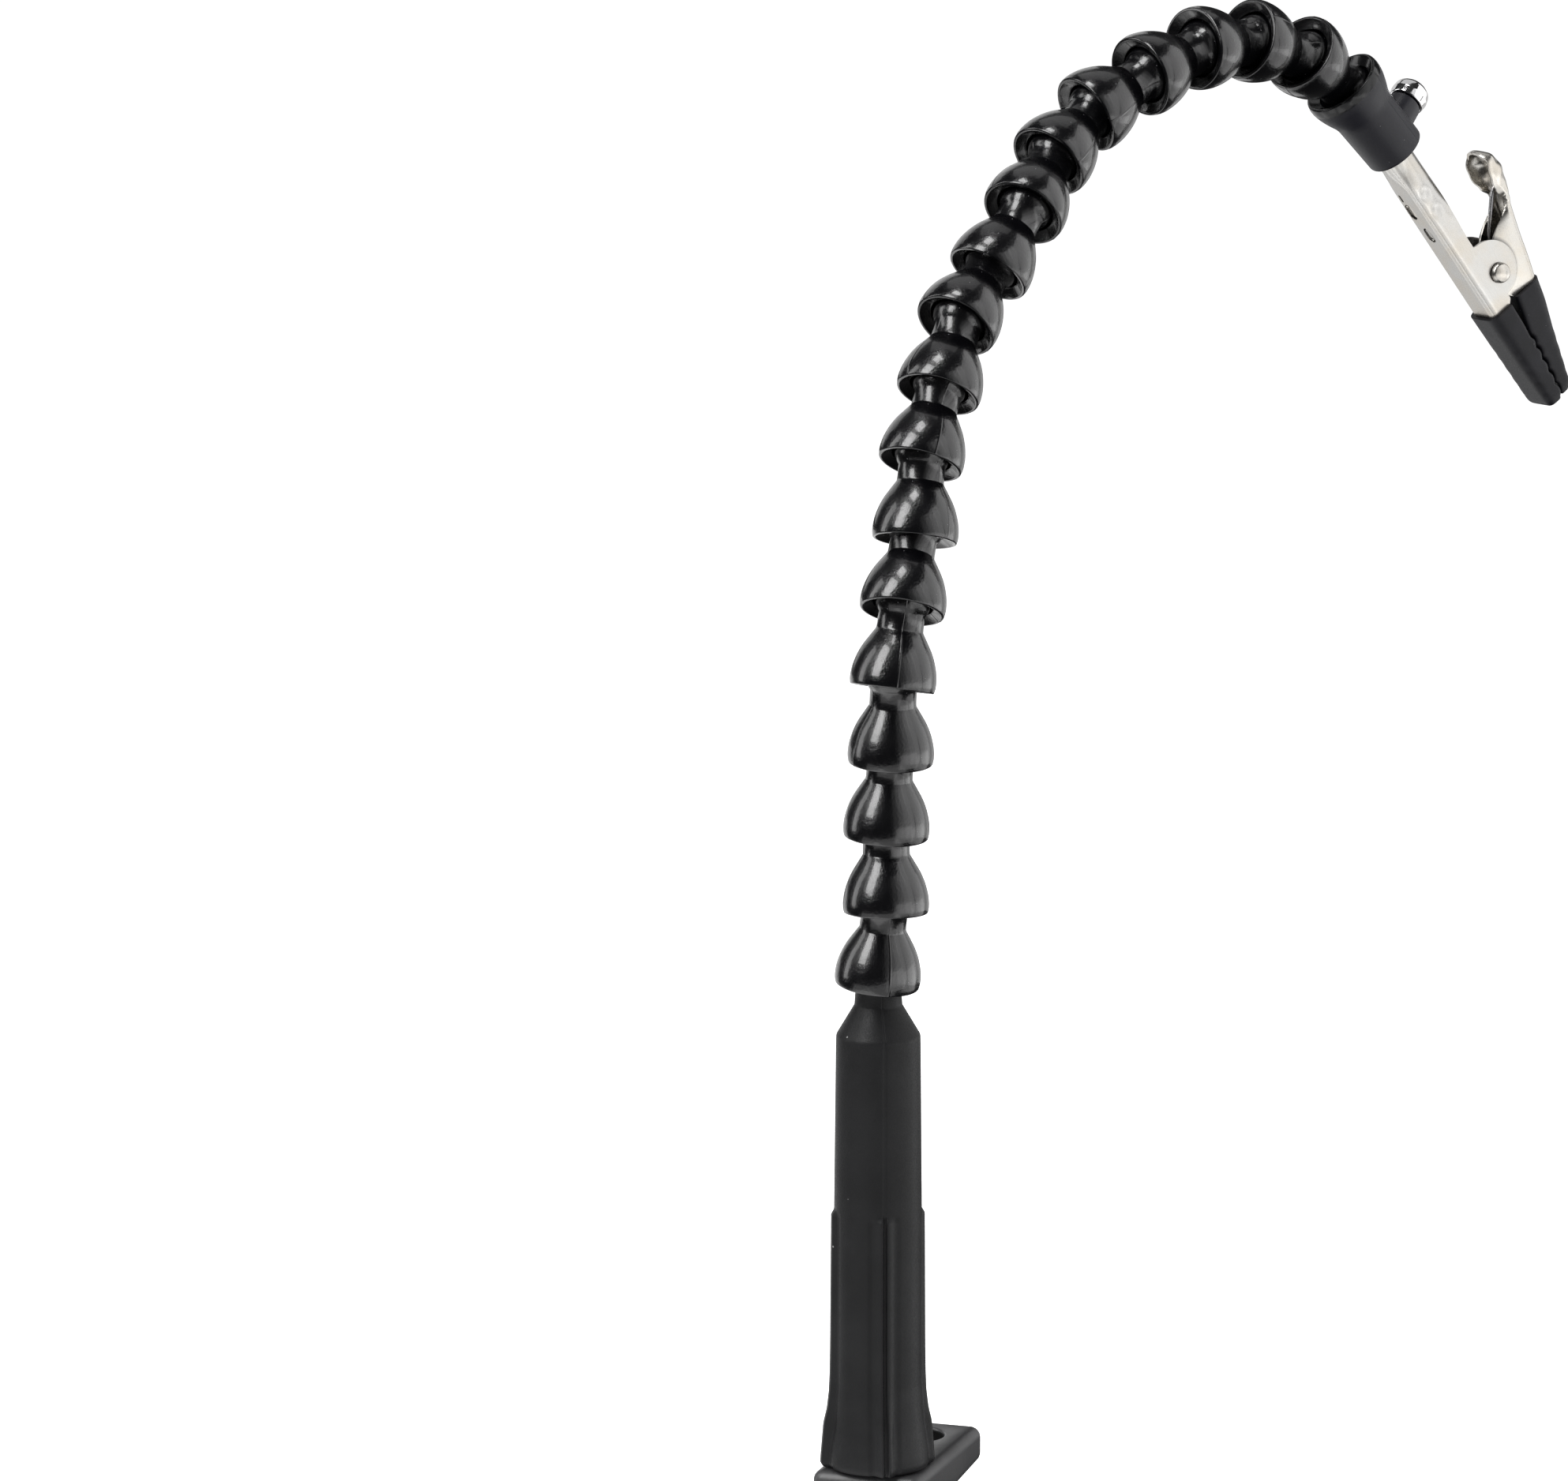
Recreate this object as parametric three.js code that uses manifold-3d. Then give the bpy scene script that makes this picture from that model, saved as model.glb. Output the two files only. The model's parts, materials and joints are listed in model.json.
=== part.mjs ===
// Helping hands clamp: a table C-clamp that carries a ball-jointed arm with a sprung clip at its end.
//
// Millimetres, +Z up. The origin is the middle of the jaw pad's face, which presses on the table top,
// and the clamping screw's axis passes through it. The jaw reaches back along +Y from the spine, and
// the post stands on the jaw above the spine.

import * as THREE from 'three';
import { mergeVertices } from 'three/addons/utils/BufferGeometryUtils.js';
import Module from 'manifold-3d';

const wasm = await Module();
wasm.setup();

// ---------------------------------------------------------------- driving dimensions

const clearance = 0.3;

// Clamp frame
const frameWidth = 22.4;
const frameEdge = 1.6;
const jawTop = 10.8;
const jawNearY = -20;
const jawFarY = 23.5;
const jawTipBottom = 3.3;
const jawRootBottom = 1.2;
const spineInnerY = -11;
const throatBottom = -64;
const frameBottom = -77;
const lowerArmFarY = 13.5;
const throatFillet = 4;

// Sockets for arm posts
const postY = -11.5;
const socketRadius = 6.1;
const postSocketDepth = 9;
const spareSocketY = 12.7;

// Table pad and clamping screw
const jawPadWidth = 15;
const jawPadLength = 13;
const screwRadius = 4.7;
const screwTop = -31.4;
const screwBottom = -122;
const footRadius = 10.4;
const footFace = -25;
const footPadThickness = 1.6;
const footBottom = -31.5;
const knobTop = -112;
const knobBottom = -128;
const knobRadius = 17;
const knobLobes = 6;

// Post
const postBallHeight = 101.5;
const ribStart = 52;
const ribWidth = 3.6;
const ribTurn = 27;

// Arm
const segmentCount = 18;
const pitch = 15.06;
const ballRadius = 5.8;
const cupRadius = 6.25;
const neckRadius = 4.5;
const rimRadius = 8.5;
const hoseBore = 3;
const roundSides = 12;

// Lean from straight up, and compass heading from +X, of each piece of the arm, in degrees.
// The arm is bent by hand: nearly straight at the bottom, over to the back and down at the clip.
const armPose = [
  [7, -20], [3, 100], [4, -20], [4, -40], [14, 75], [30, 90],
  [21, 92], [33, 82], [38, 82], [53, 75], [45, 68], [55, 80],
  [59, 68], [66, 54], [76, 59], [91, 61], [108, 58], [123, 63],
];
const collarPose = [138, 47];
const collarRoll = 178;

// Clip collar
const collarEnd = 17;
const collarRadius = 6.6;
const barrelHoleRadius = 4.6;
const barrelHoleBottom = 7.4;
const bossHeight = 12.8;
const bossRadius = 3.4;
const bossReach = 11.5;
const bossTurn = -16;

// The screw pushes the clip's barrel across its wide hole, so the clip leans away from the screw.
const clipLean = 7;
const clipPush = 0.8;

// Clip, measured from the collar's open end: along the clip, then across it from the barrel's axis
const sheet = 0.6;
const barrelRadius = 3.1;
const barrelInside = 8.6;
const webAcross = -3.1;
const lowerHalfWidth = 4.2;
const upperHalfWidth = 3.3;
const pivotAlong = 34.5;
const pivotAcross = 3.6;
const pivotRadius = 1.4;
const jawTip = 64.4;
const sleeveTip = 66;
const sleeveStart = 41.5;
const sleeveWall = 0.8;

// ---------------------------------------------------------------- helpers

function material(color, roughness, metalness) {
  return new THREE.MeshStandardMaterial({ color, roughness, metalness });
}

const blackPaint = material(0x1b1b1d, 0.5, 0.1);
const mattePlastic = material(0x1a1a1b, 0.65, 0);
const glossPlastic = material(0x101011, 0.2, 0);
const collarPlastic = material(0x161617, 0.4, 0);
const nickel = material(0xc9c7c2, 0.25, 1);
const chrome = material(0xd6d6d8, 0.12, 1);
const steel = material(0x8f9193, 0.35, 1);
const rubber = material(0x202022, 0.85, 0);

function namedMesh(name, geometry, meshMaterial) {
  const mesh = new THREE.Mesh(geometry, meshMaterial);
  mesh.name = name;
  return mesh;
}

// A closed geometry as a solid that can be joined and cut.
function solid(geometry) {
  const bare = geometry.index ? geometry.clone() : geometry;
  bare.deleteAttribute('normal');
  bare.deleteAttribute('uv');
  const merged = mergeVertices(bare, 1e-4);
  return new wasm.Manifold(new wasm.Mesh({
    numProp: 3,
    vertProperties: new Float32Array(merged.attributes.position.array),
    triVerts: new Uint32Array(merged.index.array),
  }));
}

function geometryOf(body) {
  const mesh = body.getMesh();
  const geometry = new THREE.BufferGeometry();
  geometry.setAttribute('position', new THREE.BufferAttribute(mesh.vertProperties, 3));
  geometry.setIndex(new THREE.BufferAttribute(mesh.triVerts, 1));
  return geometry;
}

// A round body from a closed list of [radius, height] points, turned about Z.
function turned(profile, sides = roundSides) {
  const points = profile.map(([radius, height]) => new THREE.Vector2(radius, height));
  points.push(points[0].clone());
  const geometry = new THREE.LatheGeometry(points, sides);
  geometry.rotateX(Math.PI / 2);
  return geometry;
}

// A turned body whose profile starts and ends on the axis.
function turnedSolid(profile, sides = roundSides) {
  const points = profile.map(([radius, height]) => new THREE.Vector2(radius, height));
  const geometry = new THREE.LatheGeometry(points, sides);
  geometry.rotateX(Math.PI / 2);
  return geometry;
}

// An upright cylinder from one height to another.
function rod(radius, bottom, top, sides = 16) {
  const geometry = new THREE.CylinderGeometry(radius, radius, top - bottom, sides);
  geometry.rotateX(Math.PI / 2);
  geometry.translate(0, 0, (bottom + top) / 2);
  return geometry;
}

function box(low, high) {
  const geometry = new THREE.BoxGeometry(high[0] - low[0], high[1] - low[1], high[2] - low[2]);
  geometry.translate((low[0] + high[0]) / 2, (low[1] + high[1]) / 2, (low[2] + high[2]) / 2);
  return geometry;
}

// An outline drawn as [across, up] and given a thickness along the third axis.
function plate(outline, thickness, bevel = 0) {
  const shape = new THREE.Shape(outline.map(([across, up]) => new THREE.Vector2(across, up)));
  const geometry = new THREE.ExtrudeGeometry(shape, {
    depth: thickness - 2 * bevel,
    bevelEnabled: bevel > 0,
    bevelThickness: bevel,
    bevelSize: bevel,
    bevelOffset: -bevel,
    bevelSegments: 2,
    steps: 1,
  });
  return geometry.translate(0, 0, bevel);
}

// A plate's thickness is centred, and the plate is turned so that its outline's two axes and its
// thickness lie along the three given axes.
function stand(geometry, thickness, across, up, through) {
  geometry.translate(0, 0, -thickness / 2);
  return geometry.applyMatrix4(new THREE.Matrix4().makeBasis(across, up, through));
}

const axisX = new THREE.Vector3(1, 0, 0);
const axisY = new THREE.Vector3(0, 1, 0);
const axisZ = new THREE.Vector3(0, 0, 1);

// The points of an arc, from one angle to another in degrees.
function arc(centre, radius, from, to, steps) {
  const points = [];
  for (let step = 0; step <= steps; step += 1) {
    const angle = THREE.MathUtils.degToRad(from + ((to - from) * step) / steps);
    points.push([centre[0] + radius * Math.cos(angle), centre[1] + radius * Math.sin(angle)]);
  }
  return points;
}

// The points of a ball's outline, from one angle to another, measured from its top in degrees.
function ballArc(centreHeight, radius, from, to, steps) {
  const points = [];
  for (let step = 0; step <= steps; step += 1) {
    const angle = THREE.MathUtils.degToRad(from + ((to - from) * step) / steps);
    points.push([radius * Math.sin(angle), centreHeight + radius * Math.cos(angle)]);
  }
  return points;
}

// ---------------------------------------------------------------- clamp frame

function clampFrame() {
  const outline = [
    [jawNearY, frameBottom + 5],
    [jawNearY + 5, frameBottom],
    [lowerArmFarY - 3, frameBottom],
    [lowerArmFarY, frameBottom + 3],
    [lowerArmFarY, throatBottom - 1],
    [lowerArmFarY - 1, throatBottom],
    ...arc([spineInnerY + throatFillet, throatBottom + throatFillet], throatFillet, 270, 180, 3),
    ...arc([spineInnerY + throatFillet, jawRootBottom - throatFillet], throatFillet, 180, 90, 3),
    [jawFarY - 1, jawTipBottom - 0.1],
    [jawFarY, jawTipBottom + 1],
    [jawFarY, jawTop],
    [jawNearY, jawTop],
  ];
  let frame = solid(stand(plate(outline, frameWidth, frameEdge), frameWidth, axisY, axisZ, axisX));
  const sockets = [
    rod(socketRadius, jawTop - postSocketDepth, jawTop + 5, 20).translate(0, postY, 0),
    rod(socketRadius, -10, jawTop + 5, 20).translate(0, spareSocketY, 0),
    turnedSolid([[0, jawTop - 1], [socketRadius - 0.2, jawTop - 1], [socketRadius + 1.8, jawTop + 1],
      [0, jawTop + 1]], 20).translate(0, spareSocketY, 0),
    rod(screwRadius + clearance, frameBottom - 5, throatBottom + 5, 20),
    setScrewShape(clearance),
  ];
  for (const socket of sockets) {
    frame = frame.subtract(solid(socket));
  }
  return geometryOf(frame);
}

// The post's grub screw, in the spine's outer wall, which bears on the post's spigot.
const setScrewHeight = jawTop - 5;
const setScrewLength = 2.2;

function setScrewShape(extra) {
  const shape = rod(2 + extra, extra > 0 ? -3 : 0, setScrewLength + 2 * extra, 12);
  shape.rotateX(-Math.PI / 2);
  return shape.translate(0, jawNearY + 0.3, setScrewHeight);
}

function setScrew() {
  const hexSocket = new THREE.CylinderGeometry(1.1, 1.1, 3, 6);
  hexSocket.translate(0, jawNearY + 0.3, setScrewHeight);
  return geometryOf(solid(setScrewShape(0)).subtract(solid(hexSocket)));
}

function jawPad() {
  const half = jawPadLength / 2;
  const slope = (jawTipBottom - jawRootBottom) / (jawFarY - spineInnerY - throatFillet);
  const topAt = (y) => jawRootBottom + slope * (y - spineInnerY - throatFillet) - clearance;
  const outline = [
    [-half + 0.4, 0],
    [half - 0.4, 0],
    [half, 0.4],
    [half, topAt(half)],
    [-half, topAt(-half)],
    [-half, 0.4],
  ];
  return stand(plate(outline, jawPadWidth), jawPadWidth, axisY, axisZ, axisX);
}

// ---------------------------------------------------------------- clamping screw

function clampScrew() {
  const neck = 3;
  return turnedSolid([
    [0, screwBottom],
    [screwRadius - 1, screwBottom],
    [screwRadius, screwBottom + 1],
    [screwRadius, screwTop - 3],
    [neck, screwTop - 2],
    [neck, screwTop + 0.8],
    [neck - 1, screwTop + 2.6],
    [0, screwTop + 3],
  ], 16);
}

function footDisc() {
  const seatRadius = 3.3;
  const seatTop = screwTop + 3 + clearance;
  const discTop = footFace - footPadThickness - clearance;
  return turnedSolid([
    [0, seatTop],
    [seatRadius, seatTop],
    [seatRadius, footBottom],
    [seatRadius + 2.4, footBottom],
    [footRadius, discTop - 2.1],
    [footRadius, discTop],
    [0, discTop],
  ], 20);
}

function footPad() {
  return turnedSolid([
    [0, footFace - footPadThickness],
    [footRadius - 0.6, footFace - footPadThickness],
    [footRadius - 0.6, footFace - 0.5],
    [footRadius - 1.1, footFace],
    [0, footFace],
  ], 20);
}

function knob() {
  const outline = [];
  const steps = knobLobes * 6;
  for (let step = 0; step < steps; step += 1) {
    const angle = (2 * Math.PI * step) / steps;
    const radius = knobRadius - 1.5 + 1.5 * Math.cos(knobLobes * angle);
    outline.push([radius * Math.cos(angle), radius * Math.sin(angle)]);
  }
  const grip = plate(outline, knobTop - knobBottom - 4, 1.5).translate(0, 0, knobBottom);
  const hub = rod(9, knobTop - 5, knobTop, 16);
  const hole = rod(screwRadius + clearance, screwBottom - clearance, knobTop + 5, 16);
  return geometryOf(solid(grip).add(solid(hub)).subtract(solid(hole)));
}

// ---------------------------------------------------------------- post

function post() {
  const body = turnedSolid([
    [0, -8.7],
    [socketRadius - clearance - 0.6, -8.7],
    [socketRadius - clearance, -8],
    [socketRadius - clearance, clearance],
    [10.4, clearance],
    [10.5, 3],
    [9.6, 9],
    [9.0, 17],
    [8.8, ribStart],
    [8.4, 86.6],
    [7.9, 88],
    [4.7, 94.4],
    [neckRadius, 95.6],
    ...ballArc(postBallHeight, ballRadius, 129, 31, 4),
    [2.7, postBallHeight - 14],
    [0, postBallHeight - 16],
  ], 16);
  let joined = solid(body);
  for (let side = 0; side < 4; side += 1) {
    const rib = plate([
      [6, 2.2],
      [11.5, 2.2],
      [10.7, 8.8],
      [9.9, 14],
      [9.5, 20],
      [9.2, ribStart - 1.5],
      [8.3, ribStart + 2.5],
      [6, ribStart + 2.5],
    ], ribWidth);
    stand(rib, ribWidth, axisX, axisZ, new THREE.Vector3(0, -1, 0));
    rib.rotateZ(THREE.MathUtils.degToRad(90 * side + ribTurn));
    joined = joined.add(solid(rib));
  }
  return geometryOf(joined);
}

// ---------------------------------------------------------------- arm segments

// A bell with a cup at its wide end and a ball at its narrow end, bored through.
// Its own origin is the cup's centre, and the ball's centre is one pitch up.
function armSegment() {
  return turned([
    [8.0, -3.2],
    [rimRadius, -1.5],
    [8.2, 1.2],
    [7.1, 4.2],
    [5.6, 6.6],
    [4.6, 8.2],
    ...ballArc(pitch, ballRadius, 129, 31, 4),
    ...ballArc(0, cupRadius, 30, 110, 3),
    [6.8, -3.2],
  ]);
}

// ---------------------------------------------------------------- clip collar

// Lays an upright shape square to the collar's axis, along its screw.
function turnOnCollar(geometry) {
  geometry.rotateY(Math.PI / 2);
  geometry.rotateZ(THREE.MathUtils.degToRad(bossTurn));
  geometry.translate(0, 0, bossHeight);
  return geometry;
}

function clipCollar() {
  const body = turned([
    [8.0, -3.2],
    [rimRadius, -1.5],
    [8.2, 0.6],
    [7.2, 3.2],
    [collarRadius, 5.2],
    [collarRadius - 0.3, collarEnd - 1.4],
    [collarRadius - 1.5, collarEnd],
    [barrelHoleRadius, collarEnd],
    [barrelHoleRadius, barrelHoleBottom],
    [hoseBore, barrelHoleBottom],
    ...ballArc(0, cupRadius, 29, 110, 3),
    [6.8, -3.2],
  ], 16);
  const boss = turnOnCollar(rod(bossRadius, barrelHoleRadius + 0.6, bossReach, 14));
  const hole = turnOnCollar(rod(2, 0, bossReach + 3, 12));
  return geometryOf(solid(body).add(solid(boss)).subtract(solid(hole)));
}

function clipScrew() {
  const under = bossReach + clearance;
  const shape = turnedSolid([
    [0, barrelRadius + 0.1],
    [1.2, barrelRadius + 0.1],
    [1.7, barrelRadius + 0.8],
    [1.7, under],
    [3.8, under],
    [3.7, under + 1.1],
    [2.6, under + 2.3],
    [0, under + 2.8],
  ], 14);
  let screw = solid(shape);
  const slot = 0.8;
  for (const [wide, deep] of [[2, slot / 2], [slot / 2, 2]]) {
    const cut = box([-wide, -deep, under + 1.3], [wide, deep, under + 4]);
    screw = screw.subtract(solid(cut));
  }
  return turnOnCollar(geometryOf(screw));
}

// ---------------------------------------------------------------- clip

// The clip is drawn with X across it towards the thumb tab, Y along the pivot and Z towards its tip.
// Its outlines are drawn as [along, across].
function clipPlate(outline, thickness, bevel = 0) {
  return stand(plate(outline, thickness, bevel), thickness, axisZ, axisX, axisY);
}

// Two side plates of the sheet's thickness, a jaw's width apart.
function sidePlates(outline, outerHalfWidth) {
  const middle = outerHalfWidth - sheet / 2;
  const right = solid(clipPlate(outline, sheet).translate(0, -middle, 0));
  const left = solid(clipPlate(outline, sheet).translate(0, middle, 0));
  return right.add(left);
}

function pivotHole(radius) {
  const hole = new THREE.CylinderGeometry(radius, radius, 20, 12);
  hole.translate(pivotAcross, 0, pivotAlong);
  return solid(hole);
}

function lowerJaw() {
  const outline = [
    [2, webAcross],
    [jawTip, webAcross + 0.5],
    [jawTip, -0.9],
    [sleeveStart + 3, 0.4],
    [sleeveStart + 0.5, 1.2],
    ...arc([pivotAlong - 1, 0.6], 6, 20, 150, 5),
    [25, -0.1],
    [14.5, -0.1],
    [8, 1.6],
    [2, 2.4],
  ];
  let jaw = sidePlates(outline, lowerHalfWidth);
  const web = clipPlate([
    [2, webAcross],
    [jawTip, webAcross + 0.5],
    [jawTip, webAcross + 1.3],
    [2, webAcross + 0.8],
  ], 2 * lowerHalfWidth);
  jaw = jaw.add(solid(web));
  const barrel = turned([
    [barrelRadius, -barrelInside],
    [barrelRadius, 3],
    [barrelRadius + 0.9, 7],
    [barrelRadius + 0.2, 7],
    [barrelRadius - sheet, 3],
    [barrelRadius - sheet, -barrelInside],
  ], 16);
  jaw = jaw.add(solid(barrel)).subtract(solid(box([2.6, -6, 4], [6, 6, 14])));
  jaw = jaw.subtract(pivotHole(pivotRadius + clearance));
  for (const [along, radius] of [[11, 1.3], [17, 1.6]]) {
    const hole = rod(radius, -6, 6, 10);
    hole.rotateY(Math.PI / 2);
    hole.translate(-4, 0, along);
    jaw = jaw.subtract(solid(hole).intersect(solid(box([-6, -3, 0], [-1, 3, 30]))));
  }
  return geometryOf(jaw);
}

// The upper jaw's back falls from the thumb tab to the tip.
function backAcross(along) {
  return 17.2 - 0.255 * (along - 13);
}

function upperJaw() {
  const outline = [
    [13, backAcross(13)],
    [13, backAcross(13) - 1.6],
    [17, backAcross(17) - 3],
    [21.5, backAcross(21.5) - 2.6],
    [24.5, backAcross(24.5) - 3],
    [27, 9.4],
    [28.6, 5],
    [30.5, 1.4],
    [pivotAlong, 0.6],
    [pivotAlong + 4, 1.4],
    [sleeveStart, 4.2],
    [sleeveStart + 3, 4.1],
    [jawTip, 2],
    [jawTip, backAcross(jawTip)],
  ];
  const back = clipPlate([
    [13, backAcross(13)],
    [13, backAcross(13) - 0.8],
    [jawTip, backAcross(jawTip) - 0.8],
    [jawTip, backAcross(jawTip)],
  ], 2 * upperHalfWidth);
  const jaw = sidePlates(outline, upperHalfWidth).add(solid(back));
  return geometryOf(jaw.subtract(pivotHole(pivotRadius + clearance)));
}

function clipPivot() {
  const shape = turnedSolid([
    [0, -lowerHalfWidth - 1],
    [1.9, -lowerHalfWidth - 1],
    [2.1, -lowerHalfWidth - clearance],
    [pivotRadius, -lowerHalfWidth - clearance],
    [pivotRadius, lowerHalfWidth + clearance],
    [2.3, lowerHalfWidth + clearance],
    [1.7, lowerHalfWidth + 1.1],
    [0, lowerHalfWidth + 1.5],
  ], 12);
  shape.rotateX(-Math.PI / 2);
  shape.translate(pivotAcross, 0, pivotAlong);
  return shape;
}

function clipSpring() {
  const coil = turned([
    [pivotRadius + clearance + 0.1, -2],
    [2.7, -2],
    [2.7, 2],
    [pivotRadius + clearance + 0.1, 2],
  ], 12);
  coil.rotateX(-Math.PI / 2);
  coil.translate(pivotAcross, 0, pivotAlong);
  const lowerLeg = box([webAcross + 1.3, 1, pivotAlong - 9], [webAcross + 2.1, 1.8, pivotAlong]);
  const lowerLink = box([webAcross + 1.3, 1, pivotAlong - 0.8], [pivotAcross - 2, 1.8, pivotAlong]);
  const upperEnd = backAcross(pivotAlong - 5) - 1.2;
  const upperLink = box([pivotAcross + 2, -1.8, pivotAlong - 1], [upperEnd - 1, -1, pivotAlong - 0.2]);
  const upperLeg = box([upperEnd - 1.8, -1.8, pivotAlong - 6], [upperEnd - 1, -1, pivotAlong - 0.2]);
  return geometryOf(solid(coil).add(solid(lowerLeg)).add(solid(lowerLink))
    .add(solid(upperLink)).add(solid(upperLeg)));
}

// A rubber sleeve drawn by its side outline, with a pocket for its jaw.
function sleeve(outline, pocketOutline, halfWidth) {
  const outer = clipPlate(outline, 2 * (halfWidth + clearance + sleeveWall), 0.5);
  const pocket = clipPlate(pocketOutline, 2 * (halfWidth + clearance));
  return geometryOf(solid(outer).subtract(solid(pocket)));
}

const biteStart = sleeveStart + 3.5;

// The height of the line where the two sleeves meet.
function biteAcross(along) {
  return 2.2 - 0.085 * (along - biteStart);
}

function lowerSleeve() {
  const bite = [];
  for (let along = sleeveTip - 0.4; along > biteStart; along -= 4.4) {
    bite.push([along, biteAcross(along) - 0.2]);
  }
  return sleeve([
    [sleeveStart, webAcross - 0.9],
    [sleeveTip - 1.5, webAcross - 0.1],
    [sleeveTip, webAcross + 1],
    ...bite,
    [biteStart, biteAcross(biteStart) - 0.2],
    [sleeveStart, 3.1],
  ], [
    [sleeveStart - 3, webAcross - 0.35],
    [jawTip + clearance, webAcross + 0.15],
    [jawTip + clearance, -0.6],
    [sleeveStart + 3, 1],
    [sleeveStart - 3, 3],
  ], lowerHalfWidth);
}

function upperSleeve() {
  const bite = [];
  for (let along = biteStart; along < sleeveTip; along += 4.4) {
    bite.push([along, biteAcross(along) + 0.2]);
  }
  return sleeve([
    [sleeveStart, 3.5],
    ...bite,
    [sleeveTip, biteAcross(sleeveTip) + 0.4],
    [sleeveTip, backAcross(sleeveTip) - 0.4],
    [sleeveTip - 1.5, backAcross(sleeveTip) + 1],
    [sleeveStart, backAcross(sleeveStart) + 1],
  ], [
    [sleeveStart - 3, 4.3],
    [sleeveStart + 0.5, 3.9],
    [sleeveStart + 3, 3.7],
    [jawTip + clearance, 1.6],
    [jawTip + clearance, backAcross(jawTip) + clearance],
    [sleeveStart - 3, backAcross(sleeveStart - 3) + clearance],
  ], upperHalfWidth);
}

// ---------------------------------------------------------------- assembly

const object = new THREE.Group();

object.add(namedMesh('clamp_frame', clampFrame(), blackPaint));
object.add(namedMesh('post_set_screw', setScrew(), steel));
object.add(namedMesh('jaw_pad', jawPad(), rubber));

object.add(namedMesh('clamp_screw', clampScrew(), steel));
object.add(namedMesh('clamp_foot', footDisc(), steel));
object.add(namedMesh('foot_pad', footPad(), rubber));
object.add(namedMesh('clamp_knob', knob(), mattePlastic));

const postMesh = namedMesh('post', post(), mattePlastic);
postMesh.position.set(0, postY, jawTop);
object.add(postMesh);

// Turns a group so that its +Z leans from straight up towards a heading, then rolls it about itself.
function aim(group, [lean, heading], roll) {
  const toRadians = THREE.MathUtils.degToRad;
  group.quaternion.setFromAxisAngle(axisZ, toRadians(heading));
  group.quaternion.multiply(new THREE.Quaternion().setFromAxisAngle(axisY, toRadians(lean)));
  group.quaternion.multiply(new THREE.Quaternion().setFromAxisAngle(axisZ, toRadians(roll)));
}

const ballCentre = new THREE.Vector3(0, postY, jawTop + postBallHeight);
for (let index = 0; index < segmentCount; index += 1) {
  const name = `arm_segment_${String(index + 1).padStart(2, '0')}`;
  const segment = namedMesh(name, armSegment(), glossPlastic);
  segment.position.copy(ballCentre);
  aim(segment, armPose[index], -armPose[index][1]);
  object.add(segment);
  ballCentre.add(new THREE.Vector3(0, 0, pitch).applyQuaternion(segment.quaternion));
}

const collarGroup = new THREE.Group();
collarGroup.position.copy(ballCentre);
aim(collarGroup, collarPose, collarRoll);
collarGroup.add(namedMesh('clip_collar', clipCollar(), collarPlastic));
collarGroup.add(namedMesh('clip_screw', clipScrew(), chrome));
object.add(collarGroup);

const clipGroup = new THREE.Group();
const awayFromScrew = THREE.MathUtils.degToRad(bossTurn + 180);
const leanAxis = new THREE.Vector3(-Math.sin(awayFromScrew), Math.cos(awayFromScrew), 0);
clipGroup.position.set(
  clipPush * Math.cos(awayFromScrew),
  clipPush * Math.sin(awayFromScrew),
  collarEnd,
);
clipGroup.quaternion.setFromAxisAngle(leanAxis, THREE.MathUtils.degToRad(clipLean));
clipGroup.add(namedMesh('clip_lower_jaw', lowerJaw(), nickel));
clipGroup.add(namedMesh('clip_upper_jaw', upperJaw(), nickel));
clipGroup.add(namedMesh('clip_pivot', clipPivot(), nickel));
clipGroup.add(namedMesh('clip_spring', clipSpring(), steel));
clipGroup.add(namedMesh('lower_jaw_sleeve', lowerSleeve(), rubber));
clipGroup.add(namedMesh('upper_jaw_sleeve', upperSleeve(), rubber));
collarGroup.add(clipGroup);

export default object;
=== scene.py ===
"""Looks for the helping hands clamp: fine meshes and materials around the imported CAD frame.

Shapes are drawn in millimetres, in each piece's own frame, and placed by the joints of the frame.
"""

import json
from math import atan2, cos, exp, hypot, pi, radians, sin, sqrt, tan

import bmesh
import bpy
from mathutils import Matrix, Vector


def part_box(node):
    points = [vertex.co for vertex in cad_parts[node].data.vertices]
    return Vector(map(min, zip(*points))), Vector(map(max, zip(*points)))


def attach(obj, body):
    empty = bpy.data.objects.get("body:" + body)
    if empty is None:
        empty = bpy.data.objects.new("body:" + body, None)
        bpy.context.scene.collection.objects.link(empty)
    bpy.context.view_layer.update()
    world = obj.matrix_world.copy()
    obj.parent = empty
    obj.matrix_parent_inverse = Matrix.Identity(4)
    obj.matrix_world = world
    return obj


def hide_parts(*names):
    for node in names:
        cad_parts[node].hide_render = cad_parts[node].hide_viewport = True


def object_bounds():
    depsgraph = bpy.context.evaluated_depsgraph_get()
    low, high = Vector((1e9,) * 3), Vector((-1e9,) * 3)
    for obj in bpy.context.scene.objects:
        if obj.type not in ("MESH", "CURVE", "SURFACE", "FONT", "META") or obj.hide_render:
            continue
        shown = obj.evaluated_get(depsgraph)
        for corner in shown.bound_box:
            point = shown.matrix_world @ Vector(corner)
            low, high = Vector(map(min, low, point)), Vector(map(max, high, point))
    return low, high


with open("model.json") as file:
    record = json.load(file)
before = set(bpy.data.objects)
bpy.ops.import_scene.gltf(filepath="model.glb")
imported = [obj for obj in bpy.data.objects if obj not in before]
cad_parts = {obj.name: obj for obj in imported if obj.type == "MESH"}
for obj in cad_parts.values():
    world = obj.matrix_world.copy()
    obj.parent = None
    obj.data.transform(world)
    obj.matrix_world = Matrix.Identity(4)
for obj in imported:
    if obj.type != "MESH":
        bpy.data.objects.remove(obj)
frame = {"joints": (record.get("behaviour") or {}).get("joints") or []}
cad_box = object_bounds()
joints = {joint["name"]: joint for joint in frame["joints"]}

MM = 0.001
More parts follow.
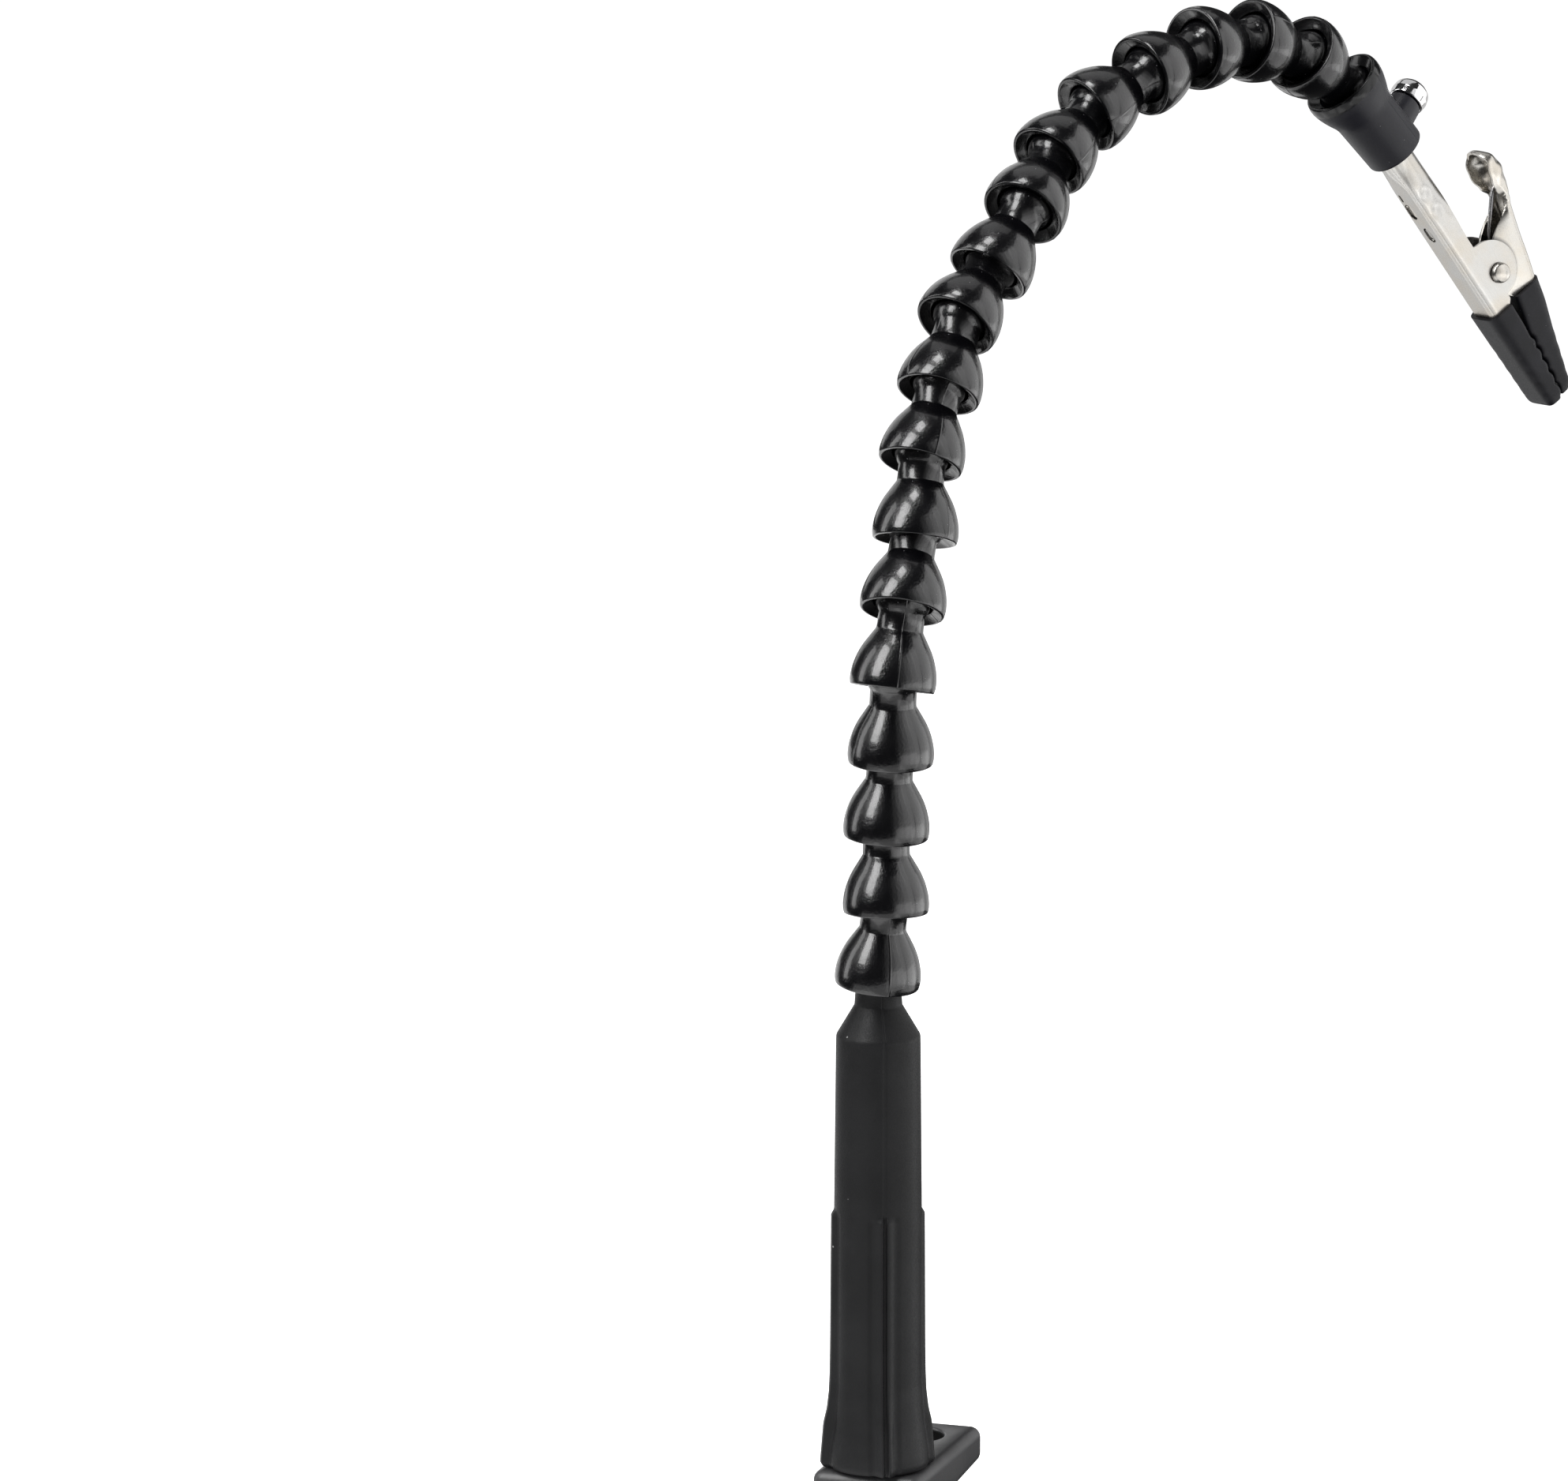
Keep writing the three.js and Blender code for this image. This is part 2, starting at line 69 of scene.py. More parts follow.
# Between pieces that touch, in millimetres
GAP = 0.3
UP = Vector((0, 0, 1))

# Camera, as the object is seen at rest
CAMERA_AZIMUTH = radians(18.4)
CAMERA_ELEVATION = radians(11.4)
CAMERA_DISTANCE = 1.9
CAMERA_VIEW_WIDTH = radians(9.279)
TARGET = Vector((0, -0.0115, 0.1583))
TARGET_LEFT = 0.01866

RIGHT = Vector((cos(CAMERA_AZIMUTH), sin(CAMERA_AZIMUTH), 0))
AWAY = Vector((-sin(CAMERA_AZIMUTH), cos(CAMERA_AZIMUTH), 0))


# ---- frames


def axes(origin, x, z):
    """A place from an origin, a rough X and an exact Z."""
    z = z.normalized()
    y = z.cross(x).normalized()
    x = y.cross(z)
    place = Matrix((x, y, z)).transposed().to_4x4()
    place.translation = origin
    return place


def joint_place(name):
    return Vector(joints[name]["pos_m"])


def joint_axis(name):
    return Vector(joints[name]["axis"])


# ---- outlines


def curve(points, steps=5):
    """A smooth open curve through points of any length (Catmull-Rom)."""
    ends = [points[0], *points, points[-1]]
    out = []
    for a, b, c, d in zip(ends, ends[1:], ends[2:], ends[3:]):
        for step in range(steps):
            t = step / steps
            out.append(tuple(
                0.5 * (2 * q + (r - p) * t + (2 * p - 5 * q + 4 * r - s) * t * t
                       + (3 * q - p - 3 * r + s) * t ** 3)
                for p, q, r, s in zip(a, b, c, d)))
    return [*out, tuple(points[-1])]


def arc(centre, radius, start, stop, steps):
    """Points round a centre, from one angle to another in degrees."""
    angles = [radians(start + (stop - start) * i / steps) for i in range(steps + 1)]
    return [(centre[0] + radius * cos(a), centre[1] + radius * sin(a)) for a in angles]


def polar(radius, degrees, height):
    """A point round the Z axis."""
    turn = radians(degrees)
    return (radius * cos(turn), radius * sin(turn), height)


def apart(a, b):
    """How far two directions are from each other, in degrees."""
    return abs((a - b + 180) % 360 - 180)


def ball_arc(height, radius, start, stop, steps):
    """(radius, height) points of a ball's outline, in degrees from its top."""
    return [(out, up) for up, out in arc((height, 0), radius, start, stop, steps)]


def rounded(points, radius, steps=4, closed=False):
    """An outline with its corners rounded. A point's third value is a radius of its own."""
    out = []
    count = len(points)
    for i, point in enumerate(points):
        if not closed and i in (0, count - 1):
            out.append(tuple(point[:2]))
            continue
        here = Vector(point[:2])
        before = Vector(points[i - 1][:2]) - here
        after = Vector(points[(i + 1) % count][:2]) - here
        size = point[2] if len(point) > 2 else radius
        half_angle = before.angle(after, pi) / 2
        if size <= 0 or half_angle > 1.53:
            out.append(tuple(here))
            continue
        cut = min(size / tan(half_angle), before.length * 0.49, after.length * 0.49)
        first = here + before.normalized() * cut
        last = here + after.normalized() * cut
        for step in range(steps + 1):
            t = step / steps
            out.append(tuple(first * (1 - t) ** 2 + here * 2 * t * (1 - t) + last * t * t))
    return out


def smooth(t):
    t = min(max(t, 0.0), 1.0)
    return t * t * (3 - 2 * t)


def between(x, knots):
    """The value at x on straight lines through (x, value) knots."""
    if x <= knots[0][0]:
        return knots[0][1]
    for (x0, v0), (x1, v1) in zip(knots, knots[1:]):
        if x <= x1:
            return v0 + (v1 - v0) * (x - x0) / (x1 - x0)
    return knots[-1][1]


def steps_over(start, stop, size):
    count = max(1, round(abs(stop - start) / size))
    return [start + (stop - start) * i / count for i in range(count + 1)]


# ---- meshes


def skin(rows, round_columns=True, round_rows=False):
    """Points and faces of a surface over rows of points. A row of one point closes it to a fan."""
    points, first = [], []
    for row in rows:
        first.append(len(points))
        points.extend(row)
    faces = []
    pairs = list(zip(range(len(rows)), range(1, len(rows))))
    if round_rows:
        pairs.append((len(rows) - 1, 0))
    for a, b in pairs:
        wide = max(len(rows[a]), len(rows[b]))
        for i in range(wide if round_columns else wide - 1):
            j = (i + 1) % wide
            if len(rows[a]) == 1:
                faces.append((first[a], first[b] + j, first[b] + i))
            elif len(rows[b]) == 1:
                faces.append((first[a] + i, first[a] + j, first[b]))
            else:
                faces.append((first[a] + i, first[a] + j, first[b] + j, first[b] + i))
    return points, faces


# A mould seam: how far it stands out, and half its width and the width of its slope in degrees
SEAM_HEIGHT = 0.05
SEAM_HALF = 1.3
SEAM_SLOPE = 0.8


def lathe(profile, sides=96, closed=False, seams=()):
    """A turned surface from (radius, height) points. A seam is a fine raised line at an angle."""
    angles = [360 * i / sides for i in range(sides)]
    for seam in seams:
        angles = [a for a in angles if apart(a, seam) > 2.5]
        angles += [(seam + turn) % 360 for turn in (-2.2, -1.2, -0.7, 0, 0.7, 1.2, 2.2)]
    angles.sort()
    off = [min([apart(a, seam) for seam in seams], default=180) for a in angles]
    rises = [SEAM_HEIGHT * smooth((SEAM_HALF - away) / SEAM_SLOPE) for away in off]
    rows = []
    for radius, height in profile:
        if radius < 1e-6:
            rows.append([(0, 0, height)])
        else:
            rows.append([polar(radius + rise, a, height) for a, rise in zip(angles, rises)])
    return skin(rows, round_rows=closed)


def add_object(name, data):
    thing = bpy.data.objects.new(name, data)
    bpy.context.scene.collection.objects.link(thing)
    return thing


def mesh_object(name, points, faces, place=None):
    """A mesh object from points in millimetres, with its normals facing out."""
    mesh = bpy.data.meshes.new(name)
    mesh.from_pydata([Vector(p) * MM for p in points], [], faces)
    made = bmesh.new()
    made.from_mesh(mesh)
    bmesh.ops.remove_doubles(made, verts=made.verts, dist=1e-7)
    bmesh.ops.recalc_face_normals(made, faces=made.faces)
    made.to_mesh(mesh)
    made.free()
    thing = add_object(name, mesh)
    if place is not None:
        thing.matrix_world = place
    return thing


def modify(thing, kind, **settings):
    """Adds a modifier to an object and applies it."""
    modifier = thing.modifiers.new(kind, kind)
    for name, value in settings.items():
        setattr(modifier, name, value)
    bpy.context.view_layer.update()
    evaluated = thing.evaluated_get(bpy.context.evaluated_depsgraph_get())
    old = thing.data
    thing.modifiers.clear()
    thing.data = bpy.data.meshes.new_from_object(evaluated)
    thing.data.name = thing.name
    bpy.data.meshes.remove(old)


def combine(thing, other, operation):
    """Joins or cuts an object with another, which is used up."""
    other.matrix_world = thing.matrix_world
    modify(thing, "BOOLEAN", object=other, operation=operation, solver="EXACT")
    bpy.data.objects.remove(other)


def cut(thing, *cutters):
    for cutter in cutters:
        combine(thing, cutter, "DIFFERENCE")


def finish_piece(thing, body, material, crease=32, stands_for_node=True):
    """Shades a piece, gives it its material, and ties it to its body and to the node of its name."""
    thing.data.shade_smooth()
    thing.data.set_sharp_from_angle(angle=radians(crease))
    thing.data.materials.clear()
    thing.data.materials.append(material)
    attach(thing, body)
    if stands_for_node:
        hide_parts(thing.name.partition(".")[0])


def prism(name, outline, thickness):
    """A plate from an outline in its own X and Y, its thickness centred on Z."""
    count = len(outline)
    points = [(x, y, z) for z in (-thickness / 2, thickness / 2) for x, y in outline]
    faces = [tuple(range(count)), tuple(range(2 * count - 1, count - 1, -1))]
    faces += [(i, (i + 1) % count, (i + 1) % count + count, i + count) for i in range(count)]
    return mesh_object(name, points, faces)


def rod(radius, bottom, top, sides=48):
    return mesh_object("rod", *lathe([(0, bottom), (radius, bottom), (radius, top), (0, top)], sides))


def turn_points(thing, matrix):
    """Moves an object's points, not the object."""
    thing.data.transform(matrix)
    return thing


def shift(thing, x=0, y=0, z=0):
    """Moves an object's points by millimetres."""
    return turn_points(thing, Matrix.Translation((x * MM, y * MM, z * MM)))


def lay(thing):
    """Turns an object's points so that Z lies along Y."""
    return turn_points(thing, Matrix.Rotation(-pi / 2, 4, "X"))


# ---- materials


def times(colour, factor):
    return tuple(c * factor for c in colour)


class Finish:
    """A Principled material, with short-hands for the textures that drive it."""

    def __init__(self, name, colour, roughness, metallic=0.0, ior=1.5):
        self.material = bpy.data.materials.new(name)
        self.material.use_nodes = True
        self.tree = self.material.node_tree
        self.shader = self.tree.nodes["Principled BSDF"]
        self.put("Base Color", (*colour, 1))
        self.put("Roughness", roughness)
        self.put("Metallic", metallic)
        self.put("IOR", ior)
        self.where = self.node("TexCoord").outputs["Object"]

    def put(self, socket, value):
        """Sets one of the shader's values, the same all over or by a texture."""
        self.feed(self.shader.inputs[socket], value)

    def feed(self, socket, value):
        """Links a texture to a socket, or sets the socket to a plain value."""
        if isinstance(value, bpy.types.NodeSocket):
            self.tree.links.new(value, socket)
        else:
            socket.default_value = value

    def node(self, kind, inputs=(), **settings):
        made = self.tree.nodes.new("ShaderNode" + kind)
        for name, value in settings.items():
            setattr(made, name, value)
        for name, value in dict(inputs).items():
            self.feed(made.inputs[name], value)
        return made

    def millimetres(self, stretch=(1, 1, 1)):
        """The object's own coordinates in millimetres, each axis squeezed by a factor."""
        scale = [s / MM for s in stretch]
        return self.node("Mapping", {"Vector": self.where, "Scale": scale}).outputs[0]

    def noise(self, size, detail=2.0, stretch=(1, 1, 1)):
        """Noise whose features are about a size in millimetres."""
        made = self.node("TexNoise", {
            "Vector": self.millimetres(stretch), "Scale": 1 / size, "Detail": detail, "Roughness": 0.55})
        return made.outputs["Fac"]

    def specks(self, size, amount):
        """1 in small dots about a size in millimetres apart, else 0."""
        made = self.node("TexVoronoi", {"Vector": self.millimetres(), "Scale": 1 / size})
        return self.span(made.outputs["Distance"], amount, amount * 0.6)

    def span(self, value, low, high, to_low=0, to_high=1):
        """A value between two limits, eased onto another range."""
        made = self.node("MapRange", {
            "Value": value, "From Min": low, "From Max": high, "To Min": to_low, "To Max": to_high},
            interpolation_type="SMOOTHSTEP")
        return made.outputs["Result"]

    def maths(self, operation, a, b):
        made = self.node("Math", operation=operation)
        for socket, value in zip(made.inputs, (a, b)):
            self.feed(socket, value)
        return made.outputs[0]

    def mix(self, factor, a, b):
        made = self.node("Mix", data_type="RGBA")
        for number, value in zip((0, 6, 7), (factor, a, b)):
            self.feed(made.inputs[number], (*value, 1) if isinstance(value, tuple) else value)
        return made.outputs[2]

    def bump(self, *heights):
        """Surface relief from (value, depth in millimetres) pairs."""
        below = {}
        for value, depth in heights:
            inputs = {"Height": value, "Distance": depth * MM, "Strength": 1.0, **below}
            below = {"Normal": self.node("Bump", inputs).outputs["Normal"]}
        self.put("Normal", below["Normal"])


# Heights over the socket's centre between which a polished lip turns dull
LIP_SHINE = (-1.5, -0.9)


def gloss_plastic(name, colour, roughness, peel, ior, coat, body=None):
    """Polished black plastic: faint orange peel, handling marks and a little dust.

    A body has a colour and roughness of its own, away from the polished lip at the mouth.
    """
    made = Finish(name, colour, roughness, ior=ior)
    ripple = made.noise(0.6, 3)
    grain = made.noise(0.28, 2)
    smears = made.noise(9, 3, (1, 1, 0.5))
    dust = made.specks(2.6, 0.055)
    rough = made.maths(
        "ADD", made.span(smears, 0.35, 0.7, roughness - 0.03, roughness + 0.08),
        made.maths("MULTIPLY", dust, 0.3))
    tone = colour
    if body:
        height = made.node("SeparateXYZ", {"Vector": made.where}).outputs["Z"]
        matte = made.span(height, LIP_SHINE[0] * MM, LIP_SHINE[1] * MM)
        rough = made.maths("ADD", rough, made.maths("MULTIPLY", matte, body[1] - roughness))
        tone = made.mix(matte, colour, body[0])
        made.put("Specular IOR Level", 0.3)
    made.put("Roughness", rough)
    made.put("Base Color", made.mix(dust, tone, (0.09, 0.09, 0.095)))
    made.bump((ripple, 0.030 * peel), (grain, 0.012 * peel))
    made.put("Coat Weight", coat)
    made.put("Coat Roughness", 0.08)
    made.put("Coat IOR", 1.4)
    return made.material


def textured_plastic(name, colour, roughness, size, depth):
    """Spark-textured black plastic: fine even grain, slight cloudiness and a few pale nicks."""
    made = Finish(name, colour, roughness, ior=1.5)
    grain = made.noise(size, 3)
    cloud = made.noise(14, 3)
    nicks = made.specks(7, 0.035)
    lighter = times(colour, 1.5)
    made.put("Base Color", made.mix(
        nicks, made.mix(made.span(cloud, 0.3, 0.7), colour, lighter), (0.2, 0.2, 0.2)))
    made.put("Roughness", made.span(grain, 0.3, 0.7, roughness - 0.08, roughness + 0.08))
    made.bump((grain, depth), (nicks, 0.02))
    made.put("Specular IOR Level", 0.12)
    return made.material


def powder_coat(name, colour, roughness):
    """Black powder coat: soft pebbling over a fine grain, worn a little smoother in patches."""
    made = Finish(name, colour, roughness, ior=1.5)
    pebbles = made.noise(0.7, 2)
    grain = made.noise(0.2, 2)
    cloud = made.noise(16, 3)
    edge = made.span(made.node("NewGeometry").outputs["Pointiness"], 0.52, 0.62)
    lighter = times(colour, 1.6)
    worn = times(colour, 2.4)
    tone = made.mix(made.span(cloud, 0.35, 0.7), colour, lighter)
    made.put("Base Color", made.mix(edge, tone, worn))
    made.put("Roughness", made.span(cloud, 0.3, 0.7, roughness + 0.06, roughness - 0.06))
    made.bump((pebbles, 0.02), (grain, 0.006))
    return made.material


def soft_rubber(name, colour, roughness):
    """Matte black rubber: fine skin, faint bloom and dust."""
    made = Finish(name, colour, roughness, ior=1.4)
    skin_grain = made.noise(0.25, 3)
    bloom = made.noise(6, 4)
    dust = made.specks(1.8, 0.05)
    lighter = times(colour, 1.7)
    made.put("Base Color", made.mix(
        dust, made.mix(made.span(bloom, 0.35, 0.75), colour, lighter), (0.15, 0.15, 0.16)))
    made.put("Roughness", made.span(skin_grain, 0.3, 0.7, roughness - 0.06, roughness + 0.06))
    made.bump((skin_grain, 0.012), (bloom, 0.03))
    made.put("Specular IOR Level", 0.3)
    return made.material


def plated_metal(name, colour, roughness, grain_size, grain_depth, stretch=(1, 1, 1), contact_shadow=None):
    """Plated metal: tint drift, rolling or drawing grain, fine scratches, and an optional painted contact
    shadow: a dark arc where another part's edge lies against the sheet.
    """
    made = Finish(name, colour, roughness, metallic=1.0)
    grain = made.noise(grain_size, 3, stretch)
    scratches = made.noise(0.5, 4, (1, 3, 0.12))
    tint = made.noise(7, 3)
    warm = tuple(c * f for c, f in zip(colour, (1.0, 0.95, 0.88)))
    tone = made.mix(made.span(tint, 0.35, 0.7), colour, warm)
    # Painted shade: a dark ring round a centre, where the shadow of the lower jaw's ear falls on the wall
    if contact_shadow:
        across, along, radius = contact_shadow
        away = made.node("VectorMath", operation="DISTANCE")
        made.feed(away.inputs[0], made.millimetres((1, 0, 1)))
        made.feed(away.inputs[1], (across, 0, along))
        off = away.outputs["Value"]
        shadow_mark = made.maths("MULTIPLY", made.span(off, radius - 0.3, radius + 0.1),
                          made.span(off, radius + 0.25, radius + 1.2, 1, 0))
        tone = made.mix(shadow_mark, tone, times(colour, 0.42))
    made.put("Base Color", tone)
    made.put("Roughness", made.maths(
        "ADD", made.span(grain, 0.3, 0.7, roughness - 0.05, roughness + 0.07),
        made.span(scratches, 0.6, 0.72, 0, 0.08)))
    made.bump((grain, grain_depth), (scratches, grain_depth * 0.4))
    return made.material


FRAME_PAINT = powder_coat("frame_paint", (0.018, 0.018, 0.019), 0.42)
# Painted shade: near black and almost without reflection, for the sleeve that stands in for the shadow
# inside the empty socket
SOCKET_PAINTED_SHADE = textured_plastic("socket_wall", (0.001, 0.001, 0.001), 0.7, 0.3, 0.01)
POST_PLASTIC = textured_plastic("post_plastic", (0.0075, 0.0076, 0.008), 0.45, 0.3, 0.035)
ARM_PLASTIC = gloss_plastic("arm_plastic", (0.0015, 0.0015, 0.002), 0.21, 1.9, 1.42, 0.6)
COLLAR_PLASTIC = gloss_plastic(
    "collar_plastic", (0.004, 0.004, 0.0045), 0.16, 0.6, 1.5, 0.0, ((0.0085, 0.0085, 0.0125), 0.42))
KNOB_PLASTIC = textured_plastic("knob_plastic", (0.018, 0.018, 0.019), 0.5, 0.3, 0.02)
SLEEVE_RUBBER = soft_rubber("sleeve_rubber", (0.0045, 0.0045, 0.0062), 0.46)
PAD_RUBBER = soft_rubber("pad_rubber", (0.022, 0.022, 0.022), 0.7)
NICKEL = plated_metal("nickel_sheet", (0.42, 0.413, 0.398), 0.27, 0.12, 0.003)
# The upper jaw's sheet, with a painted contact shadow in an arc round the lower jaw's ear
UPPER_NICKEL = plated_metal(
    "nickel_sheet_upper", (0.46, 0.447, 0.42), 0.28, 0.12, 0.003, contact_shadow=(2.2, 32.8, 6.4))
CHROME = plated_metal("chrome_steel", (0.66, 0.66, 0.67), 0.08, 0.8, 0.002)
ZINC = plated_metal("zinc_steel", (0.45, 0.46, 0.48), 0.3, 0.3, 0.004)
SPRING_STEEL = plated_metal("spring_steel", (0.32, 0.32, 0.33), 0.3, 0.2, 0.003, (1, 1, 0.3))


# ---- clamp frame

FRAME_WIDTH = 22.4
JAW_TOP = 10.8
JAW_NEAR = -20
JAW_FAR = 23.5
JAW_TIP_BOTTOM = 3.3
JAW_ROOT_BOTTOM = 1.2
SPINE_INNER = -11
THROAT_BOTTOM = -64
FRAME_BOTTOM = -77
LOWER_ARM_FAR = 13.5
THROAT_FILLET = 4
HEEL_ROUND = 5
ARM_ROUND = 3
JAW_ROUND = 2.2
EDGE_ROUND = 2.1
POST_Y = -11.5
SOCKET_RADIUS = 6.1
SPARE_SOCKET_Y = 12.7
POST_SOCKET_BOTTOM = JAW_TOP - 9
SPARE_SOCKET_BOTTOM = -8
SCREW_HOLE = 5.0
SET_SCREW_HEIGHT = JAW_TOP - 5


def frame_outline(inset):
    """The frame from the side, drawn in by an inset that rounds its edges."""
    fillet = THROAT_FILLET + inset
    low = (SPINE_INNER + THROAT_FILLET, THROAT_BOTTOM + THROAT_FILLET)
    high = (SPINE_INNER + THROAT_FILLET, JAW_ROOT_BOTTOM - THROAT_FILLET)
    return [
        *arc((JAW_NEAR + HEEL_ROUND, FRAME_BOTTOM + HEEL_ROUND), HEEL_ROUND - inset, 180, 270, 6),
        *arc((LOWER_ARM_FAR - ARM_ROUND, FRAME_BOTTOM + ARM_ROUND), ARM_ROUND - inset, 270, 360, 5),
        *arc((LOWER_ARM_FAR - ARM_ROUND, THROAT_BOTTOM - ARM_ROUND), ARM_ROUND - inset, 0, 90, 5),
        *arc(low, fillet, 270, 180, 7),
        *arc(high, fillet, 180, 90, 7),
        *arc((JAW_FAR - JAW_ROUND, JAW_TIP_BOTTOM + JAW_ROUND), JAW_ROUND - inset, 275, 360, 5),
        *arc((JAW_FAR - JAW_ROUND, JAW_TOP - JAW_ROUND), JAW_ROUND - inset, 0, 90, 6),
        *arc((JAW_NEAR + JAW_ROUND, JAW_TOP - JAW_ROUND), JAW_ROUND - inset, 90, 180, 6),
    ]


def frame_layers():
    """(inset, X) pairs across the frame, whose long edges are rounded."""
    turns = [pi / 12 * k for k in range(7)]
    flat = FRAME_WIDTH / 2 - EDGE_ROUND
    near = [(EDGE_ROUND * (1 - cos(a)), flat + EDGE_ROUND * sin(a)) for a in turns]
    return [(inset, -x) for inset, x in near[::-1]] + near


def to_set_screw(thing):
    """Moves points drawn up the Z axis to where the grub screw lies."""
    return shift(lay(thing), y=JAW_NEAR + 0.3, z=SET_SCREW_HEIGHT)


def clamp_frame():
    rows = [[(x, y, z) for y, z in frame_outline(inset)] for inset, x in frame_layers()]
    points, faces = skin(rows)
    count = len(rows[0])
    faces += [tuple(range(count)), tuple(range(len(points) - count, len(points)))]
    thing = mesh_object("clamp_frame", points, faces)
    for side in (-1, 1):
        cut(thing, shift(side_pocket(), (FRAME_WIDTH / 2 - 0.1) * side))
    post_socket = [
        (0, POST_SOCKET_BOTTOM), (SOCKET_RADIUS, POST_SOCKET_BOTTOM), (SOCKET_RADIUS, JAW_TOP - 0.7),
        (SOCKET_RADIUS + 0.3, JAW_TOP - 0.15), (SOCKET_RADIUS + 1.0, JAW_TOP + 0.3), (0, JAW_TOP + 3)]
    spare_socket = [
        (0, SPARE_SOCKET_BOTTOM), (SOCKET_RADIUS, SPARE_SOCKET_BOTTOM), (SOCKET_RADIUS, JAW_TOP - 0.35),
        (SOCKET_RADIUS + 0.5, JAW_TOP + 0.3), (0, JAW_TOP + 3)]
    for y, profile in ((POST_Y, post_socket), (SPARE_SOCKET_Y, spare_socket)):
        cut(thing, shift(mesh_object("cutter", *lathe(profile, 72)), y=y))
    cut(thing, rod(SCREW_HOLE, FRAME_BOTTOM - 5, THROAT_BOTTOM + 5, 64))
    cut(thing, to_set_screw(rod(2.3, -3, 2.8, 32)))
    modify(thing, "BEVEL", width=0.3 * MM, segments=2, angle_limit=radians(50), limit_method="ANGLE",
           miter_outer="MITER_ARC")
    finish_piece(thing, "clamp", FRAME_PAINT, 40)


def paint_spare_socket_shade():
    """A painted shadow: a thin, near-black sleeve inside the empty socket, standing in for the shade on its
    wall.
    """
    inner, outer = SOCKET_RADIUS - 0.2, SOCKET_RADIUS - 0.02
    bottom = JAW_TIP_BOTTOM
    profile = [(inner, bottom), (outer, bottom), (outer, JAW_TOP - 0.5), (inner, JAW_TOP - 0.7)]
    thing = shift(mesh_object("spare_socket_painted_shade", *lathe(profile, 72, closed=True)), y=SPARE_SOCKET_Y)
    finish_piece(thing, "clamp", SOCKET_PAINTED_SHADE, stands_for_node=False)


def side_pocket():
    """The shallow recess that thins the web of the frame between its end blocks."""
    outline = [(-17.2, -73), (9.5, -73), (9.5, -67.5), (-13.8, -67.5), (-13.8, -0.5), (-17.2, -0.5)]
    # Drawn as (along Y, up Z), with its thickness along X
    upright = Matrix(((0, 0, 1), (1, 0, 0), (0, 1, 0))).to_4x4()
    return turn_points(prism("pocket", rounded(outline, 1.6, 5, closed=True), 1.1), upright)


def set_screw():
    profile = [(0, 0), (1.5, 0), (1.9, 0.4), (1.9, 1.9), (1.6, 2.2), (0, 2.2)]
    thing = mesh_object("post_set_screw", *lathe(profile, 48))
    socket = mesh_object("socket", *lathe([(0, -1), (1.15, -1), (1.15, 1.6), (0, 1.9)], 6))
    cut(thing, socket)
    to_set_screw(thing)
    finish_piece(thing, "clamp", ZINC)


PAD_GROOVE_DEPTH = 0.35
PAD_GROOVE_PITCH = 2.1


def jaw_pad():
    """The grooved pad under the jaw. Its size is the frame's own."""
    low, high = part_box("jaw_pad")
    half_x, half_y = high.x / MM, high.y / MM
    rows = []
    for x in steps_over(-half_x, half_x, 0.25):
        row = []
        edge_x = smooth((half_x - abs(x)) / 0.5)
        for y in steps_over(-half_y, half_y, 0.25):
            edge = edge_x * smooth((half_y - abs(y)) / 0.5)
            groove = PAD_GROOVE_DEPTH * max(0, cos(2 * pi * y / PAD_GROOVE_PITCH)) ** 6
            row.append((x, y, 0.5 * (1 - edge) + groove * edge))
        rows.append(row)
    top = low.z / MM + 1.0
    thing = mesh_object("jaw_pad", *skin(rows, round_columns=False))
    made = bmesh.new()
    made.from_mesh(thing.data)
    rim = [e for e in made.edges if e.is_boundary]
    raised = bmesh.ops.extrude_edge_only(made, edges=rim)["geom"]
    for part in raised:
        if isinstance(part, bmesh.types.BMVert):
            part.co.z = top * MM
    bmesh.ops.contextual_create(made, geom=[e for e in made.edges if e.is_boundary])
    bmesh.ops.recalc_face_normals(made, faces=made.faces)
    made.to_mesh(thing.data)
    made.free()
    finish_piece(thing, "clamp", PAD_RUBBER)


# ---- clamping screw

SCREW_RADIUS = 4.7
SCREW_PITCH = 1.5
SCREW_TOP = -31.4
SCREW_BOTTOM = -122
KNOB_TOP = -112
KNOB_BOTTOM = -128
KNOB_RADIUS = 17
KNOB_HUB = 9.4
KNOB_LOBES = 6
KNOB_WAVE = 1.5
FOOT_RADIUS = 10.4
FOOT_TOP = -26.9
PAD_TOP = -25
THREAD_DEPTH = 0.85


def clamp_screw():
    rows = [[(0, 0, SCREW_BOTTOM)]]
    sides = 40
    for z in steps_over(SCREW_BOTTOM, SCREW_TOP - 3, SCREW_PITCH / 10):
        row = []
        for i in range(sides):
            turn = i / sides
            phase = (z / SCREW_PITCH - turn) % 1
            depth = THREAD_DEPTH * smooth((abs(phase - 0.5) - 0.06) / 0.36)
            depth *= smooth((z - SCREW_BOTTOM - 0.6) / 1.5)
            radius = min(SCREW_RADIUS - depth, SCREW_RADIUS - 1 + (z - SCREW_BOTTOM))
            row.append(polar(radius, 360 * turn, z))
        rows.append(row)
    neck = [(3.6, SCREW_TOP - 2.6), (3.0, SCREW_TOP - 2), (3.0, SCREW_TOP + 0.6),
            *ball_arc(SCREW_TOP, 3.0, 75, 8, 8)]
    for radius, z in neck:
        rows.append([polar(radius, 360 * i / sides, z) for i in range(sides)])
    rows.append([(0, 0, SCREW_TOP + 3)])
    thing = mesh_object("clamp_screw", *skin(rows))
    finish_piece(thing, "clamp_screw", ZINC, 50)


